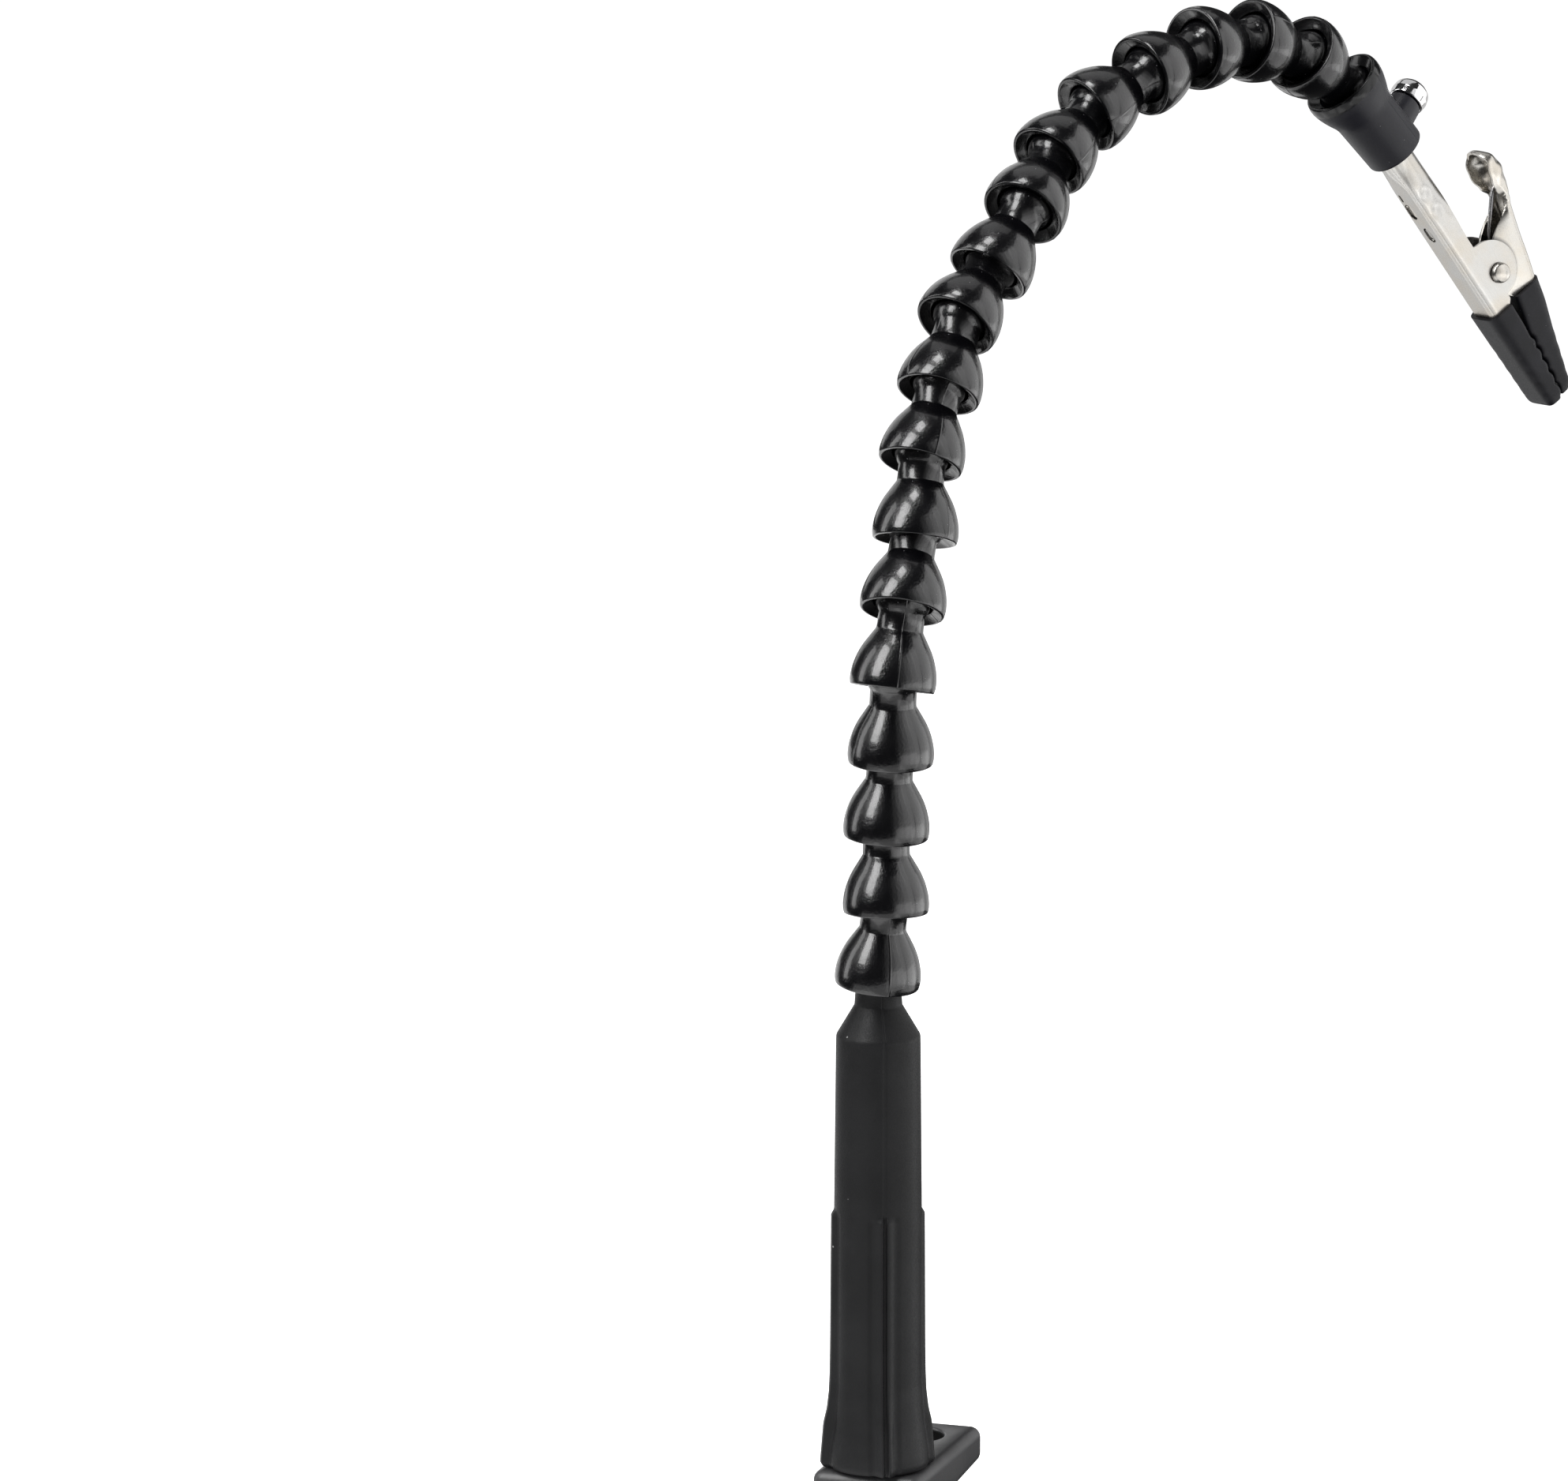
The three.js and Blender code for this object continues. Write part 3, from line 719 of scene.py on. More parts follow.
def foot():
    """The swivelling foot and its pad."""
    seat = SCREW_TOP + 3.3
    profile = rounded([
        (0, seat), (3.3, seat), (3.3, -31.5), (5.7, -31.5), (6.4, -30.3), (FOOT_RADIUS, -29.2),
        (FOOT_RADIUS, FOOT_TOP), (0, FOOT_TOP),
    ], 0.5)
    disc = mesh_object("clamp_foot", *lathe(profile))
    finish_piece(disc, "clamp_foot", ZINC)
    radii = (8.0, 7.6, 6.0, 5.6, 4.0, 3.6, 2.0, 1.6)
    rings = [(r, PAD_TOP - (0.3 if i % 2 else 0)) for i, r in enumerate(radii)]
    edge, bottom = FOOT_RADIUS - 0.6, FOOT_TOP + GAP
    outline = [(0, bottom), (edge, bottom), (edge, PAD_TOP - 0.1), (edge - 0.9, PAD_TOP, 0.6), *rings,
               (0, PAD_TOP - 0.3)]
    pad = mesh_object("foot_pad", *lathe(rounded(outline, 0.15)))
    finish_piece(pad, "clamp_foot", PAD_RUBBER)


def knob():
    """A lobed grip with a hub and a bore for the screw."""
    bore = SCREW_RADIUS + GAP
    profile = rounded([
        (bore, SCREW_BOTTOM - GAP), (bore, KNOB_TOP), (KNOB_HUB - 0.4, KNOB_TOP, 0.8), (KNOB_HUB, -116, 1.2),
        (KNOB_RADIUS, -116.6, 2),
        (KNOB_RADIUS, KNOB_BOTTOM, 2.2), (4, KNOB_BOTTOM + 0.2, 1), (0, KNOB_BOTTOM + 0.6),
    ], 0.4, 6)
    profile = [(0, SCREW_BOTTOM - GAP), *profile]
    rows = []
    sides = 144
    for radius, z in profile:
        if radius < 1e-6:
            rows.append([(0, 0, z)])
            continue
        row = []
        for i in range(sides):
            turn = 360 * i / sides
            wave = KNOB_WAVE * (1 - cos(radians(KNOB_LOBES * turn)))
            row.append(polar(radius - wave * smooth((radius - KNOB_HUB) / 5), turn, z))
        rows.append(row)
    thing = mesh_object("clamp_knob", *skin(rows))
    finish_piece(thing, "clamp_screw", KNOB_PLASTIC)


# ---- post

POST_BALL = 101.5
BALL_RADIUS = 5.8
RIB_TURN = 27
RIB_HALF_WIDTH = 2.1
RIB_TOP = 52
# (height, radius) of the ribs' edges and of the body between them
RIB_EDGE = [(0, 11.6), (3, 11.4), (9, 10.9), (12, 10.2), (15.5, 9.8), (19, 9.65), (25, 9.55), (41, 9.45),
            (55, 9.35)]
POST_BODY = [(0.3, 10.4), (3, 10.3), (9, 9.4), (17, 8.85), (30, 8.75), (52, 8.75), (86.6, 8.4)]


def post_radius(height, angle):
    """The post's radius at a height, in a direction in degrees, ribs and mould line included."""
    body = between(height, POST_BODY)
    nearest = abs((angle - RIB_TURN + 45) % 90 - 45)
    across = radians(nearest) * body
    rib = between(height, RIB_EDGE) - body
    end = smooth((RIB_TOP + 1.0 - height) / 1.4)
    radius = body + rib * end * smooth((RIB_HALF_WIDTH - across) / 1.5)
    hollow = 0.14 * smooth(1 - abs(across - RIB_HALF_WIDTH - 0.5) / 1.0) * end
    mould = radians(abs((angle - RIB_TURN) % 180 - 90)) * body
    groove = 0.07 + 0.55 * smooth((RIB_TOP + 1.5 - height) / 1.5)
    return radius - hollow - groove * smooth((0.5 - mould) / 0.3)


def post_angles():
    """Directions round the post, close together where it has a rib or a mould line."""
    close = (0, 0.8, 1.4, 1.9, 2.4, 2.9, 3.4, *steps_over(4, 24, 0.8))
    turns = [*close, *(-off for off in close), *steps_over(27, 63, 3)]
    return sorted({round(RIB_TURN + 90 * side + turn, 3) % 360 for side in range(4) for turn in turns})


def post():
    angles = post_angles()
    heights = [0.3, 0.6, *steps_over(1, 20, 0.75), *steps_over(21.5, 50, 2.5),
               *steps_over(50.6, 53.6, 0.25), *steps_over(55, 86.4, 3)]

    def ring(radius, height):
        return [polar(radius, a, height) for a in angles]

    spigot, bottom = SOCKET_RADIUS - GAP, GAP - 9
    rows = [[(0, 0, bottom)], ring(spigot - 0.6, bottom), ring(spigot, bottom + 0.7), ring(spigot, GAP),
            ring(9.8, GAP)]
    for height in heights:
        base_round = 0.5 * smooth((0.9 - height) / 0.6)
        rows.append([polar(post_radius(height, a) - base_round, a, height) for a in angles])
    cone = rounded([(8.4, 86.6), (8.35, 88.2, 1.6), (4.75, 94.3, 1.2), (4.55, 98.4)], 1, 6)
    for radius, height in cone[1:-1]:
        seam = [-0.06 * smooth((2.4 - abs((a - RIB_TURN) % 180 - 90)) / 1.8) for a in angles]
        rows.append([polar(radius + s, a, height) for a, s in zip(angles, seam)])
    rows += [ring(*spot) for spot in ball_arc(POST_BALL, BALL_RADIUS, 129, 31, 14)]
    rows += [ring(2.7, POST_BALL - 14), [(0, 0, POST_BALL - 16)]]
    thing = mesh_object("post", *skin(rows), Matrix.Translation((0, POST_Y * MM, JAW_TOP * MM)))
    finish_piece(thing, "clamp", POST_PLASTIC, 40)


# ---- arm

PITCH = 15.06
CUP_RADIUS = 6.25
BORE = 3.0
SEGMENTS = 18
# Where each segment's mould seam lies, in degrees round from the side that faces the camera
SEAM_TURNS = [16, 100, 80, 120, 4, -75, 48, 13, -60, 95, 60, -80, 25, 20, -100, 110, 125, 60]
# The rim of a socket, as (radius, height over the ball's centre)
LIP = rounded([(7.55, -3.05), (7.75, -3.3, 0.25), (8.3, -3.28, 0.45), (8.5, -2.3)], 0.5, 5)[:-1]


def bell(neck_out):
    """The outer face of a socket, from its rim up to where it meets what the piece carries."""
    return [
        *LIP,
        *curve([(8.5, -2.3), (8.52, -1.2), (8.32, 0.5), (7.75, 2.6), (6.9, 4.6), (5.85, 6.4), neck_out], 5),
    ]


def cup():
    """The inside of a socket, from its top down to its lip."""
    return [
        *ball_arc(0, CUP_RADIUS, 29, 106, 14),
        *rounded([(6.0, -1.75), (5.98, -2.0, 0.1), (6.3, -2.25, 0.3), (7.55, -3.05)], 0.2, 3)[1:-1],
    ]


def arm_segment(index):
    start = joint_place("arm_swivel" if index == 0 else f"ball_joint_{index + 1:02d}")
    stop = joint_place("collar_ball_joint" if index == SEGMENTS - 1 else f"ball_joint_{index + 2:02d}")
    place = axes(start, -AWAY, stop - start)
    profile = [
        *bell((4.95, 7.85)),
        *rounded([(4.95, 7.85), (4.66, 8.35, 0.8), (4.62, 9.3)], 0.6, 4)[1:],
        *ball_arc(PITCH, BALL_RADIUS, 127, 32, 16),
        (BORE, PITCH + 4.8),
        (BORE, PITCH + 4.2),
        (BORE, 5.6),
        *cup(),
    ]
    seams = (SEAM_TURNS[index] % 360, (SEAM_TURNS[index] + 180) % 360)
    name = f"arm_segment_{index + 1:02d}"
    thing = mesh_object(name, *lathe(profile, closed=True, seams=seams), place)
    finish_piece(thing, name, ARM_PLASTIC, 38)


# ---- collar

COLLAR_END = 17
COLLAR_HOLE = 4.6
# The hole widens to its mouth, to clear the leaning barrel
COLLAR_MOUTH = 5.05
MOUTH_START = 12.5
HOLE_BOTTOM = 7.4
BOSS_HEIGHT = 12.8
BOSS_RADIUS = 3.55
BOSS_REACH = 9.6
BOSS_TURN = radians(-16)

# The clip leans away from its screw, so the collar's own axis is square to the screw's
screw_axis = joint_axis("clip_screw_turn")
collar_z = joint_axis("clip_turn")
collar_z = (collar_z - screw_axis * collar_z.dot(screw_axis)).normalized()
COLLAR_PLACE = axes(
    joint_place("collar_ball_joint"), Matrix.Rotation(-BOSS_TURN, 3, collar_z) @ screw_axis, collar_z)
TO_SCREW = (
    Matrix.Translation((0, 0, BOSS_HEIGHT * MM))
    @ Matrix.Rotation(BOSS_TURN, 4, "Z")
    @ Matrix.Rotation(pi / 2, 4, "Y")
)


def clip_collar():
    profile = [
        *LIP,
        *curve([(8.5, -2.3), (8.5, -1.3), (8.2, 0.4), (7.55, 2.4), (6.85, 4.2), (6.6, 5.6)], 5),
        *rounded([(6.6, 5.6), (6.3, COLLAR_END, 2.0), (COLLAR_MOUTH, COLLAR_END, 0.3),
                  (COLLAR_HOLE, MOUTH_START, 0.3), (COLLAR_HOLE, HOLE_BOTTOM, 0.1), (BORE, HOLE_BOTTOM)],
                 0.2, 6)[1:],
        (BORE, 5.6),
        *cup(),
    ]
    thing = mesh_object("clip_collar", *lathe(profile, closed=True, seams=(60, 240)), COLLAR_PLACE)
    boss = rounded([
        (0, 5.1), (BOSS_RADIUS + 0.2, 5.1), (BOSS_RADIUS, BOSS_REACH, 0.5), (0, BOSS_REACH)], 0.3)
    combine(thing, turn_points(mesh_object("boss", *lathe(boss, 64)), TO_SCREW), "UNION")
    cut(thing, turn_points(rod(2.0, 0, BOSS_REACH + 3, 32), TO_SCREW))
    finish_piece(thing, "clip_collar", COLLAR_PLASTIC, 40)


def clip_screw():
    under = BOSS_REACH + GAP
    head = rounded([
        (1.7, under), (3.7, under, 0.3), (4.0, under + 1.6, 0.8), (3.7, under + 3.4, 1.6),
        (2.4, under + 4.5, 1.4), (0, under + 4.7),
    ], 0.3, 6)
    shank = [(0, 4.1), (1.2, 4.1), (1.7, 4.6)]
    thread = [(1.7 - (0.22 if i % 2 else 0), z) for i, z in enumerate(steps_over(4.8, under - 0.2, 0.3))]
    thing = mesh_object("clip_screw", *lathe([*shank, *thread, *head], 72))
    for wide, deep in ((2.1, 0.42), (0.42, 2.1)):
        outline = [(-wide, -deep), (wide, -deep), (wide, deep), (-wide, deep)]
        cut(thing, shift(prism("slot", outline, 3), z=under + 5.1))
    turn_points(thing, TO_SCREW)
    thing.matrix_world = COLLAR_PLACE
    finish_piece(thing, "clip_screw", CHROME, 35)


# ---- clip

# The clip's frame: X across it towards the thumb tab, Y along the rivet, Z towards the tip
SHEET = 0.6
BARREL_RADIUS = 3.8
WEB = -3.1
LOWER_HALF = 4.2
UPPER_HALF = 3.3
PIVOT_ALONG = 34.5
PIVOT_ACROSS = 3.6
JAW_TIP = 64.4
SLEEVE_TIP = 66.0
SLEEVE_START = 41.5
SLEEVE_WALL = 0.8
THUMB_END = 12.2
RIVET_HOLE = 1.7

clip_origin = joint_place("clip_turn")
clip_y = joint_axis("jaw_open")
to_pivot = joint_place("jaw_open") - clip_origin
clip_z = Matrix.Rotation(-atan2(PIVOT_ACROSS, PIVOT_ALONG), 3, clip_y) @ to_pivot
CLIP_PLACE = axes(clip_origin, clip_y.cross(clip_z), clip_z)


def u_section(along, web, top, half, bend, splay=0.0):
    """Points of a U across the clip. The web is at one height and the walls' ends at another."""
    sign = 1 if top > web else -1
    height = abs(top - web)
    radius = min(bend, height * 0.9, half * 0.9)
    falls = [i / 12 for i in range(12)]
    wall = [(half - splay * (1 - t), web + sign * (height - (height - radius) * t)) for t in falls]
    corner = [
        (half - radius + radius * cos(a), web + sign * (radius - radius * sin(a)))
        for a in (pi / 2 * i / 6 for i in range(7))
    ]
    flat = [((half - radius) * (1 - i / 4), web) for i in range(1, 5)]
    side = wall + corner + flat
    points = [(x, y, along) for y, x in side]
    return points + [(x, -y, along) for x, y, _ in points[-2::-1]]


def ear_height(along):
    """How far the lower jaw's walls stand, across the clip."""
    centre, radius = (PIVOT_ALONG - 1.7, 2.2), 6.4
    off = along - centre[0]
    arch = centre[1] + sqrt(max(0.0, radius ** 2 - off ** 2)) if abs(off) < radius else -9
    before = between(along, [(0, 3.0), (24, 1.7), (30, 1.7)])
    after = between(along, [
        (31, -9), (34, 2.6), (SLEEVE_START - 1.0, 2.6), (SLEEVE_START + 0.5, 1.2), (SLEEVE_START + 3, 0.4),
        (JAW_TIP, -0.9)])
    return max(before, arch) if along < centre[0] else max(arch, after)


def lower_section(along):
    """The lower jaw: a rolled barrel that opens into a channel."""
    web = WEB + 0.5 * along / JAW_TIP
    channel_points = u_section(along, web, ear_height(along), LOWER_HALF - SHEET / 2, 1.2)
    count = len(channel_points)
    flat = smooth((along - 1.5) / 7)
    wide = smooth((along - 1) / 21)
    flare = BARREL_RADIUS - SHEET / 2
    out = []
    for i, (x, y, _) in enumerate(channel_points):
        share = 2 * i / (count - 1) - 1
        opened = flat + (wide - flat) * abs(share) ** 1.5
        turn = radians(172 * share)
        x = x * opened - (0.3 + flare * cos(turn)) * (1 - opened)
        y = y * opened - flare * sin(turn) * (1 - opened)
        for spot, depth in ((9.5, 0.4), (14, 0.3)):
            y -= depth * exp(-((along - spot) / 1.2) ** 2 - ((x + 0.6) / 1.3) ** 2) * (y > 1.5)
        out.append((x, y, along))
    return out


def at_pivot(thing):
    """Moves points drawn round the Z axis to the rivet."""
    return shift(lay(thing), x=PIVOT_ACROSS, z=PIVOT_ALONG)


def pressed(name, section, stations, holes=()):
    """A pressed jaw: sheet over its sections, with its holes cut and its cut edges softened."""
    rows = [section(along) for along in stations]
    thing = mesh_object(name, *skin(rows, round_columns=False), CLIP_PLACE)
    modify(thing, "SOLIDIFY", thickness=SHEET * MM, offset=0, use_even_offset=True)
    cut(thing, *holes, at_pivot(rod(RIVET_HOLE, -10, 10, 32)))
    modify(thing, "BEVEL", width=0.2 * MM, segments=3, angle_limit=radians(62), limit_method="ANGLE")
    return thing


def web_hole(along, aside, length, radius):
    """A cutter for a round-ended hole in the lower jaw's web."""
    outline = [*arc((length / 2, 0), radius, -90, 90, 8), *arc((-length / 2, 0), radius, 90, 270, 8)]
    hole = turn_points(prism("hole", outline, 3), Matrix.Rotation(pi / 2, 4, "Y"))
    return shift(hole, WEB, aside, along)


def lower_jaw():
    stations = [*steps_over(-8.6, 4, 0.9), *steps_over(4.5, 22, 0.5), *steps_over(22.4, 30, 0.2),
                *steps_over(30.5, 42, 0.35), *steps_over(42.8, JAW_TIP, 1.2)]
    holes = [web_hole(9.6, -1.9, 1.2, 0.35), web_hole(13.2, -1.4, 1.5, 1.25), web_hole(19.3, 0.0, 1.2, 1.3)]
    thing = pressed("clip_lower_jaw", lower_section, stations, holes)
    finish_piece(thing, "clip", NICKEL, 45)


# The upper jaw along the clip, each as (along, value): its back, and half its width
BACK = curve([
    (11.5, 15.4), (12.6, 16.6), (14.0, 17.5), (16.0, 18.2), (18.0, 18.3), (20.0, 17.8), (22.2, 16.6),
    (24.4, 15.5), (28, 14.4), (32, 13.3), (41.5, 10.8), (66, 2.9)], 12)
UPPER_HALVES = curve([
    (12, 4.6), (14, 4.7), (16, 4.7), (18, 4.4), (20, 3.85), (22, 3.5), (24, 3.35), (27, UPPER_HALF),
    (70, UPPER_HALF)], 8)


def back(along):
    """The upper jaw's back, across the clip: round at the thumb tab, then a straight fall to the tip."""
    return between(along, BACK)


def upper_edge(along):
    """Where the upper jaw's walls end."""
    return between(along, [
        (THUMB_END, back(THUMB_END) - 1.6), (14, 14.6), (18, 13.4), (21.2, 13.5), (22.6, 14.4), (24, 14.6),
        (25, 13.9), (26, 12.4), (27.2, 9.4), (28.5, 7.4), (30, 5.5), (32, 2.5), (PIVOT_ALONG, 0.6),
        (PIVOT_ALONG + 4, 1.6), (SLEEVE_START, 4.2), (SLEEVE_START + 3, 4.0), (JAW_TIP, 1.6)])


def upper_section(along):
    """The upper jaw: a cupped thumb tab that runs into a channel with a crease down its back."""
    tab = smooth((23 - along) / 4)
    reach = min(1.0, max(0.0, (along - THUMB_END) / 4.4))
    round_end = sqrt(max(0.0, 1 - (1 - reach) ** 2))
    half = between(along, UPPER_HALVES) * max(0.06, round_end) - SHEET / 2 * round_end
    crease = 0.9 * smooth((along - 20) / 3) * smooth((40 - along) / 4)
    outer = back(along) - SHEET / 2
    top = outer - (outer - upper_edge(along)) * (0.15 + 0.85 * round_end)
    points = u_section(along, outer, top, half, 1.1 + 2.4 * tab, 0.6 * (1 - tab))
    dip = 1.0 * (1 - round_end) ** 1.5
    wobble = 0.16 * tab * sin(1.9 * along)
    return [(x - crease * max(0.0, 1 - abs(y) / 0.9) - dip - wobble * cos(y), y, z) for x, y, z in points]


def upper_jaw():
    stations = [*steps_over(THUMB_END, THUMB_END + 1, 0.08), *steps_over(THUMB_END + 1.15, 32, 0.2),
                *steps_over(32.5, JAW_TIP, 0.9)]
    thing = pressed("clip_upper_jaw", upper_section, stations)
    finish_piece(thing, "clip_upper_jaw", UPPER_NICKEL, 45)


def clip_pivot():
    head = LOWER_HALF + GAP
    end = -head - 0.9
    profile = [
        *rounded([(0, end), (1.7, end, 0.5), (2.1, -head, 0.2), (1.4, -head)], 0.3),
        *rounded([(1.4, head), (2.25, head, 0.15), (2.0, head + 0.9, 0.8), (0, head + 1.5)], 0.4, 6),
    ]
    thing = at_pivot(mesh_object("clip_pivot", *lathe(profile, 64), CLIP_PLACE))
    finish_piece(thing, "clip", NICKEL)


def wire(path, radius, sides=12):
    """A round wire along a path."""
    points = [Vector(p) for p in path]
    rows = [[tuple(points[0])]]
    side = None
    for i, point in enumerate(points):
        ahead = (points[min(i + 1, len(points) - 1)] - points[max(i - 1, 0)]).normalized()
        side = ahead.orthogonal() if side is None else side - ahead * side.dot(ahead)
        side.normalize()
        other = ahead.cross(side)
        rows.append([tuple(point + radius * (side * cos(a) + other * sin(a)))
                     for a in (2 * pi * k / sides for k in range(sides))])
    rows.append([tuple(points[-1])])
    return skin(rows)


def clip_spring():
    """The spring's short leg, which lies in the lower jaw, and its coil round the rivet."""
    turns, radius, side, steps = 4.5, 2.2, 1.6, 28
    leg = ((1.6, 9), (1.8, 5), (3.2, 1.5))
    path = [(WEB + across, -side, PIVOT_ALONG - before) for across, before in leg]
    for step in range(int(turns * steps) + 1):
        turn = step / steps
        angle = 2 * pi * turn + pi
        path.append((PIVOT_ACROSS + radius * cos(angle), side * (2 * turn / turns - 1),
                     PIVOT_ALONG + radius * sin(angle)))
    thing = mesh_object("clip_spring", *wire(path, 0.38), CLIP_PLACE)
    finish_piece(thing, "clip", SPRING_STEEL)


def spring_leg():
    """The spring's long leg, which lies in the upper jaw and pushes its thumb tab out."""
    path = curve([
        (PIVOT_ACROSS + 1.6, 0, PIVOT_ALONG + 1.2), (PIVOT_ACROSS + 2.4, 0, PIVOT_ALONG - 1.2),
        (8.3, 0, 28.5), (12.2, 0, 23.8), (14.0, 0, 21.9), (15.3, 0, 21.1), (17.4, 0, 20.8),
    ], 5)
    thing = mesh_object("clip_spring_leg", *wire(path, 0.48), CLIP_PLACE)
    finish_piece(thing, "clip_upper_jaw", SPRING_STEEL, stands_for_node=False)


# ---- sleeves

BITE_START = SLEEVE_START + 8


def bite(along):
    """The wavy line where the two sleeves meet."""
    wave = 0.55 * abs(sin(pi * (along - BITE_START) / 3.1)) * smooth((along - BITE_START) / 2)
    return 1.75 - 0.085 * (along - BITE_START) + wave


def sleeve_section(along, outer, inner, half):
    """A ring round a sleeve at a station, with soft corners on its back and crisper ones at the bite."""
    low, high = min(outer, inner), max(outer, inner)
    soft = min(3.0, (high - low) * 0.62)
    crisp = min(0.9, (high - low) * 0.2)
    at_low, at_high = (soft, crisp) if outer < inner else (crisp, soft)
    corners = [(low, -half, at_low), (high, -half, at_high), (high, half, at_high), (low, half, at_low)]
    ring = []
    outline = rounded(corners, 1, 6, closed=True)
    for (x0, y0), (x1, y1) in zip(outline, outline[1:] + outline[:1]):
        pieces = 3 if hypot(x1 - x0, y1 - y0) > 1 else 1
        ring += [(x0 + (x1 - x0) * k / pieces, y0 + (y1 - y0) * k / pieces, along) for k in range(pieces)]
    return ring


def even_ring(ring, count=64):
    """The same ring with its points spaced evenly, so that neighbouring rings match."""
    closed = [Vector(p) for p in ring] + [Vector(ring[0])]
    lengths = [0.0]
    for a, b in zip(closed, closed[1:]):
        lengths.append(lengths[-1] + (b - a).length)
    out = []
    spot = 0
    for i in range(count):
        wanted = lengths[-1] * i / count
        while lengths[spot + 1] < wanted:
            spot += 1
        share = (wanted - lengths[spot]) / max(lengths[spot + 1] - lengths[spot], 1e-9)
        out.append(tuple(closed[spot].lerp(closed[spot + 1], share)))
    return out


def sleeve(name, body, outer_at, inner_at, half):
    """A rubber sleeve: a skin outside and a pocket inside, open at its start and closed at its tip."""
    width = half + GAP + SLEEVE_WALL
    outside, inside = [], []
    for along in steps_over(SLEEVE_START, SLEEVE_TIP, 0.35):
        near_tip = max(0.0, (along - (SLEEVE_TIP - 2.2)) / 2.2)
        shrink = 1 - sqrt(max(0.0, 1 - near_tip ** 2))
        outer, inner = outer_at(along), inner_at(along)
        middle = (outer + inner) / 2
        outer += (middle - outer) * shrink * 0.7
        inner += (middle - inner) * shrink * 0.45
        taper = width - 0.5 * smooth((along - SLEEVE_START) / 24) - shrink * 2.0
        outside.append(even_ring(sleeve_section(along, outer, inner, taper)))
    for along in steps_over(SLEEVE_START, JAW_TIP + GAP, 0.9):
        outer, inner = outer_at(along), inner_at(along)
        lift = SLEEVE_WALL if outer < inner else -SLEEVE_WALL
        inside.append(even_ring(sleeve_section(along, outer + lift, inner - lift * 0.8, half + GAP - 0.2)))
    tip, end = [[tuple(sum((Vector(p) for p in ring), Vector()) / len(ring))]
                for ring in (outside[-1], inside[-1])]
    thing = mesh_object(name, *skin([tip, *outside[::-1], *inside, end]), CLIP_PLACE)
    finish_piece(thing, body, SLEEVE_RUBBER, 40)


def sleeves():
    def lower_outer(along):
        return WEB - 0.9 + 0.75 * (along - SLEEVE_START) / (SLEEVE_TIP - SLEEVE_START)

    def lower_inner(along):
        opening = between(along, [(SLEEVE_START, 1.9), (BITE_START, 1.7), (SLEEVE_TIP, 9)])
        return min(bite(along) - 0.22, opening)

    def upper_outer(along):
        return back(along) + 0.45 + 0.4 * smooth((along - SLEEVE_START) / 6)

    def upper_inner(along):
        opening = between(along, [(SLEEVE_START, 4.0), (BITE_START, 2.1), (SLEEVE_TIP, -9)])
        return max(bite(along) + 0.3, opening)

    sleeve("lower_jaw_sleeve", "clip", lower_outer, lower_inner, LOWER_HALF)
    sleeve("upper_jaw_sleeve", "clip_upper_jaw", upper_outer, upper_inner, UPPER_HALF)


# ---- studio

DIM_WORLD = 0.035
FLOOR_HALF = 12000


def face_back(thing, place, direction):
    """Puts a light or camera at a place, looking back along a direction."""
    thing.location = place
    thing.rotation_mode = "QUATERNION"
    thing.rotation_quaternion = direction.to_track_quat("Z", "Y")


def softbox(name, azimuth, elevation, distance, width, height, radiance, aim):
    """An area light round the object. Azimuth is to the right of the camera's side, in degrees."""
    turn, rise = radians(azimuth), radians(elevation)
    level = -AWAY * cos(turn) + RIGHT * sin(turn)
    direction = level * cos(rise) + UP * sin(rise)
    light = bpy.data.lights.new(name, "AREA")
    light.shape = "RECTANGLE"
    light.size, light.size_y = width, height
    light.energy = radiance * pi * width * height
    thing = add_object(name, light)
    face_back(thing, aim + direction * distance, direction)
    thing.visible_camera = False


def lights():
    """Soft boxes round the object, and pale cards near the clip for its metal to reflect."""
    aim = Vector((0.02, 0.02, 0.15))
    for step, radiance in enumerate((0.35, 0.95, 1.6, 2.0)):
        softbox(f"right_softbox_{step}", 26 + 16 * step, 16, 1.3, 0.365, 1.7, radiance, aim)
    for light in (
        ("far_right_softbox", 106, 14, 1.3, 1.0, 1.7, 1.7),
        ("left_softbox", -52, 42, 1.3, 0.5, 1.15, 12.0),
        ("overhead_softbox", -50, 82, 1.25, 0.34, 0.34, 14.0),
        ("left_strip", -95, 20, 1.3, 0.35, 1.3, 4.0),
        ("top_softbox", 170, 62, 1.5, 1.2, 0.8, 0.7),
        ("back_softbox", 200, 18, 1.6, 1.2, 1.0, 0.8),
    ):
        softbox(*light, aim)
    clip = Vector((0.08, 0.14, 0.24))
    for card in (
        ("low_card", -140, -34, 0.5, 0.5, 0.4, 1.0),
        ("low_front_card", -25, -44, 0.46, 0.6, 0.34, 1.0),
        ("ridge_card", -70, -56, 0.46, 0.6, 0.34, 1.2),
        ("near_edge_card", 33, -24, 0.5, 0.44, 0.3, 1.5),
        ("far_edge_card", 86, -32, 0.5, 0.5, 0.36, 1.4),
        ("back_edge_card", 146, -12, 0.5, 0.45, 0.4, 0.7),
    ):
        softbox(*card, clip)


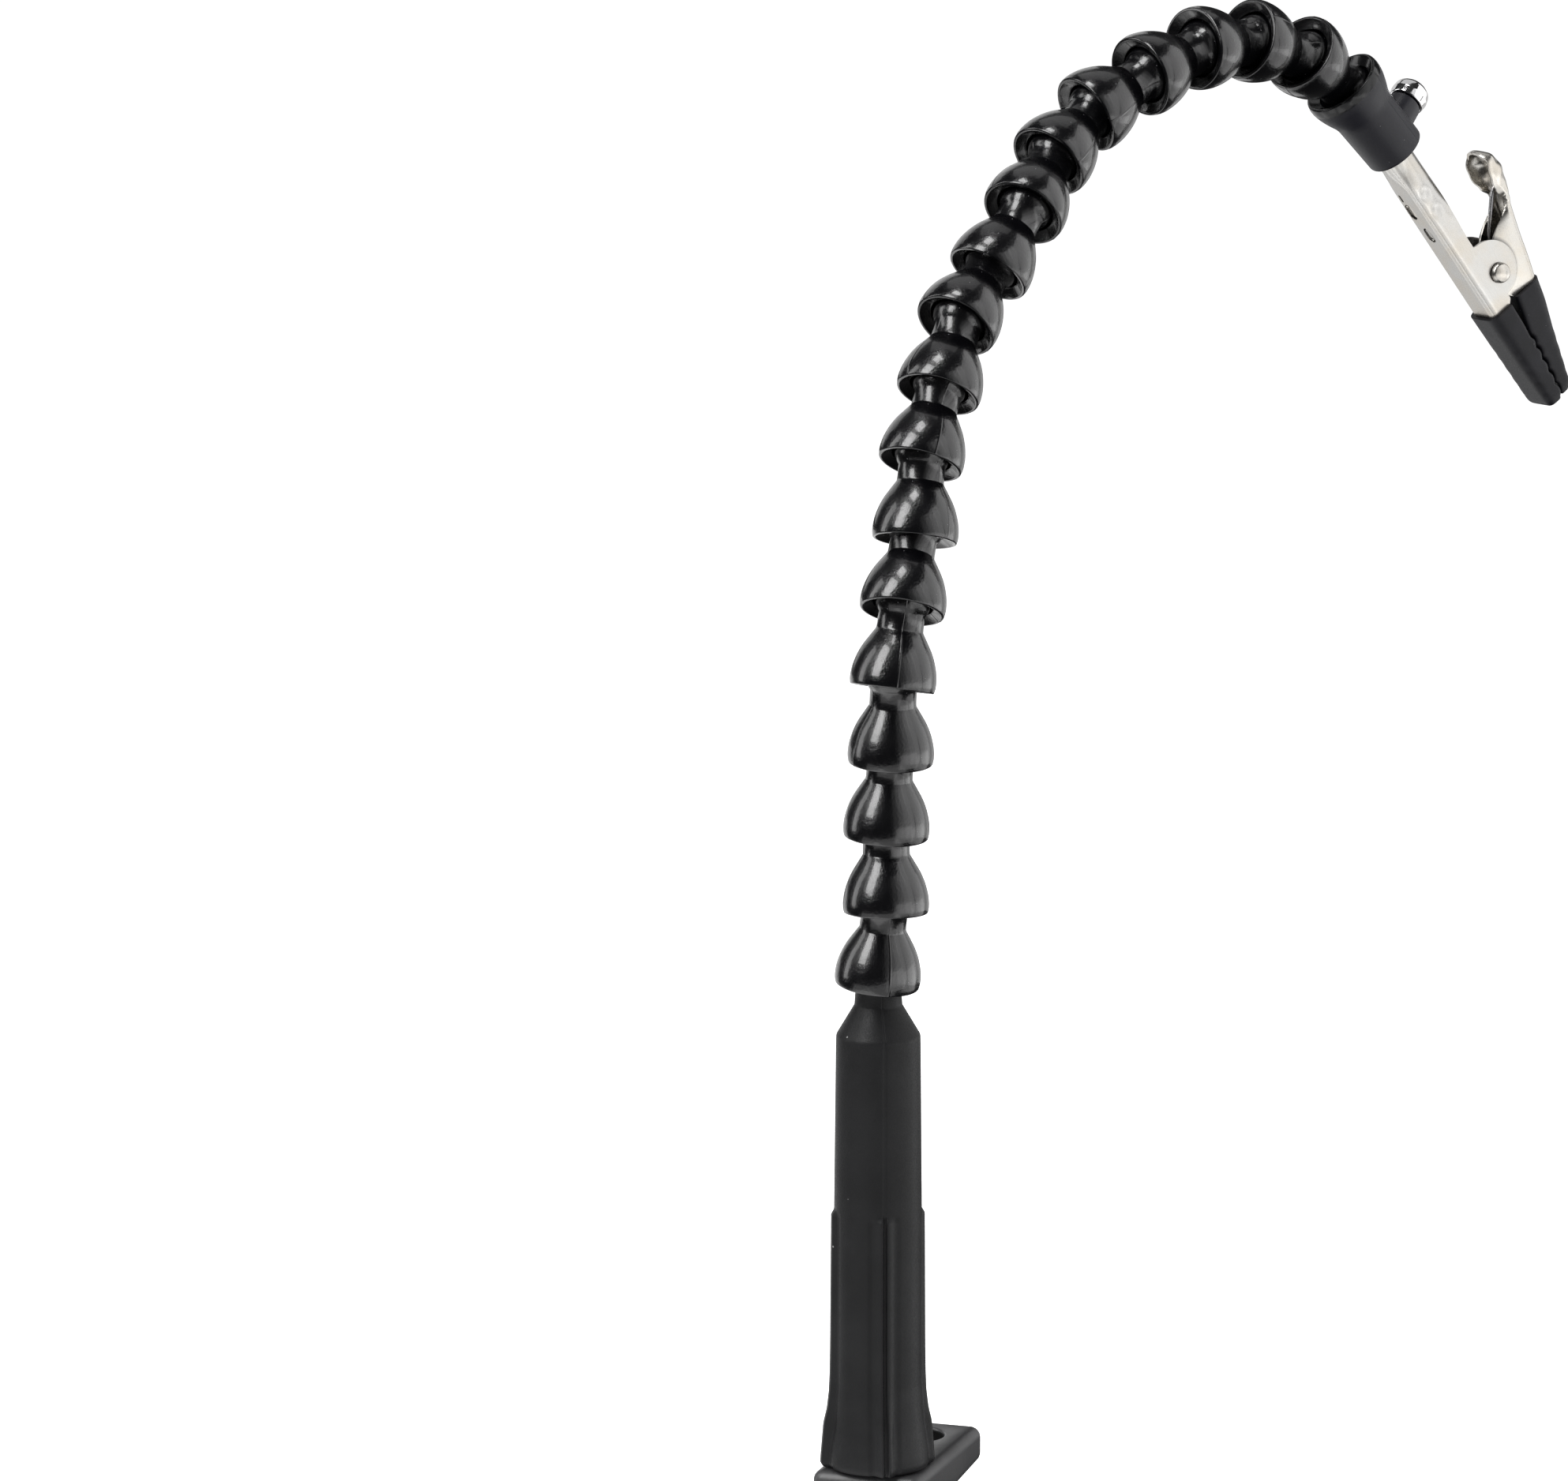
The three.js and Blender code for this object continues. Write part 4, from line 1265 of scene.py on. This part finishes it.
def surroundings():
    """A world that is white to the camera and dim to the object."""
    world = bpy.data.worlds.new("studio")
    bpy.context.scene.world = world
    world.use_nodes = True
    tree = world.node_tree
    background = tree.nodes["Background"]
    path = tree.nodes.new("ShaderNodeLightPath")
    strength = tree.nodes.new("ShaderNodeMapRange")
    strength.inputs["To Min"].default_value = DIM_WORLD
    strength.inputs["To Max"].default_value = 1.0
    tree.links.new(path.outputs["Is Camera Ray"], strength.inputs["Value"])
    tree.links.new(strength.outputs["Result"], background.inputs["Strength"])
    background.inputs["Color"].default_value = (1, 1, 1, 1)


def floor():
    """A plain pale floor, low enough for the knob when the clamp is wide open."""
    low = (cad_box[0].z + joints["clamp_travel"]["range_m"][0]) / MM - 1
    corners = [(x * FLOOR_HALF, y * FLOOR_HALF, low) for x, y in ((-1, -1), (1, -1), (1, 1), (-1, 1))]
    thing = mesh_object("floor", corners, [(0, 1, 2, 3)])
    paint = Finish("floor_paint", (0.82, 0.82, 0.82), 0.7)
    cloud = paint.span(paint.noise(900, 2), 0.3, 0.7)
    paint.put("Base Color", paint.mix(cloud, (0.8, 0.8, 0.8), (0.84, 0.84, 0.84)))
    paint.put("Emission Color", (1, 1, 1, 1))
    paint.put("Emission Strength", 1.0)
    thing.data.materials.append(paint.material)
    thing.visible_diffuse = False
    thing.visible_glossy = False


def camera_view():
    scene = bpy.context.scene
    scene.view_settings.view_transform = "Standard"
    camera = bpy.data.cameras.new("camera")
    camera.sensor_width = 36
    camera.lens = camera.sensor_width / 2 / tan(CAMERA_VIEW_WIDTH / 2)
    camera.clip_start, camera.clip_end = 0.1, 60
    thing = add_object("camera", camera)
    direction = -AWAY * cos(CAMERA_ELEVATION) + UP * sin(CAMERA_ELEVATION)
    face_back(thing, TARGET - RIGHT * TARGET_LEFT + direction * CAMERA_DISTANCE, direction)
    scene.camera = thing


# ---- build

clamp_frame()
paint_spare_socket_shade()
set_screw()
jaw_pad()
clamp_screw()
foot()
knob()
post()
for number in range(SEGMENTS):
    arm_segment(number)
clip_collar()
clip_screw()
lower_jaw()
upper_jaw()
clip_pivot()
clip_spring()
spring_leg()
sleeves()
lights()
surroundings()
floor()
camera_view()
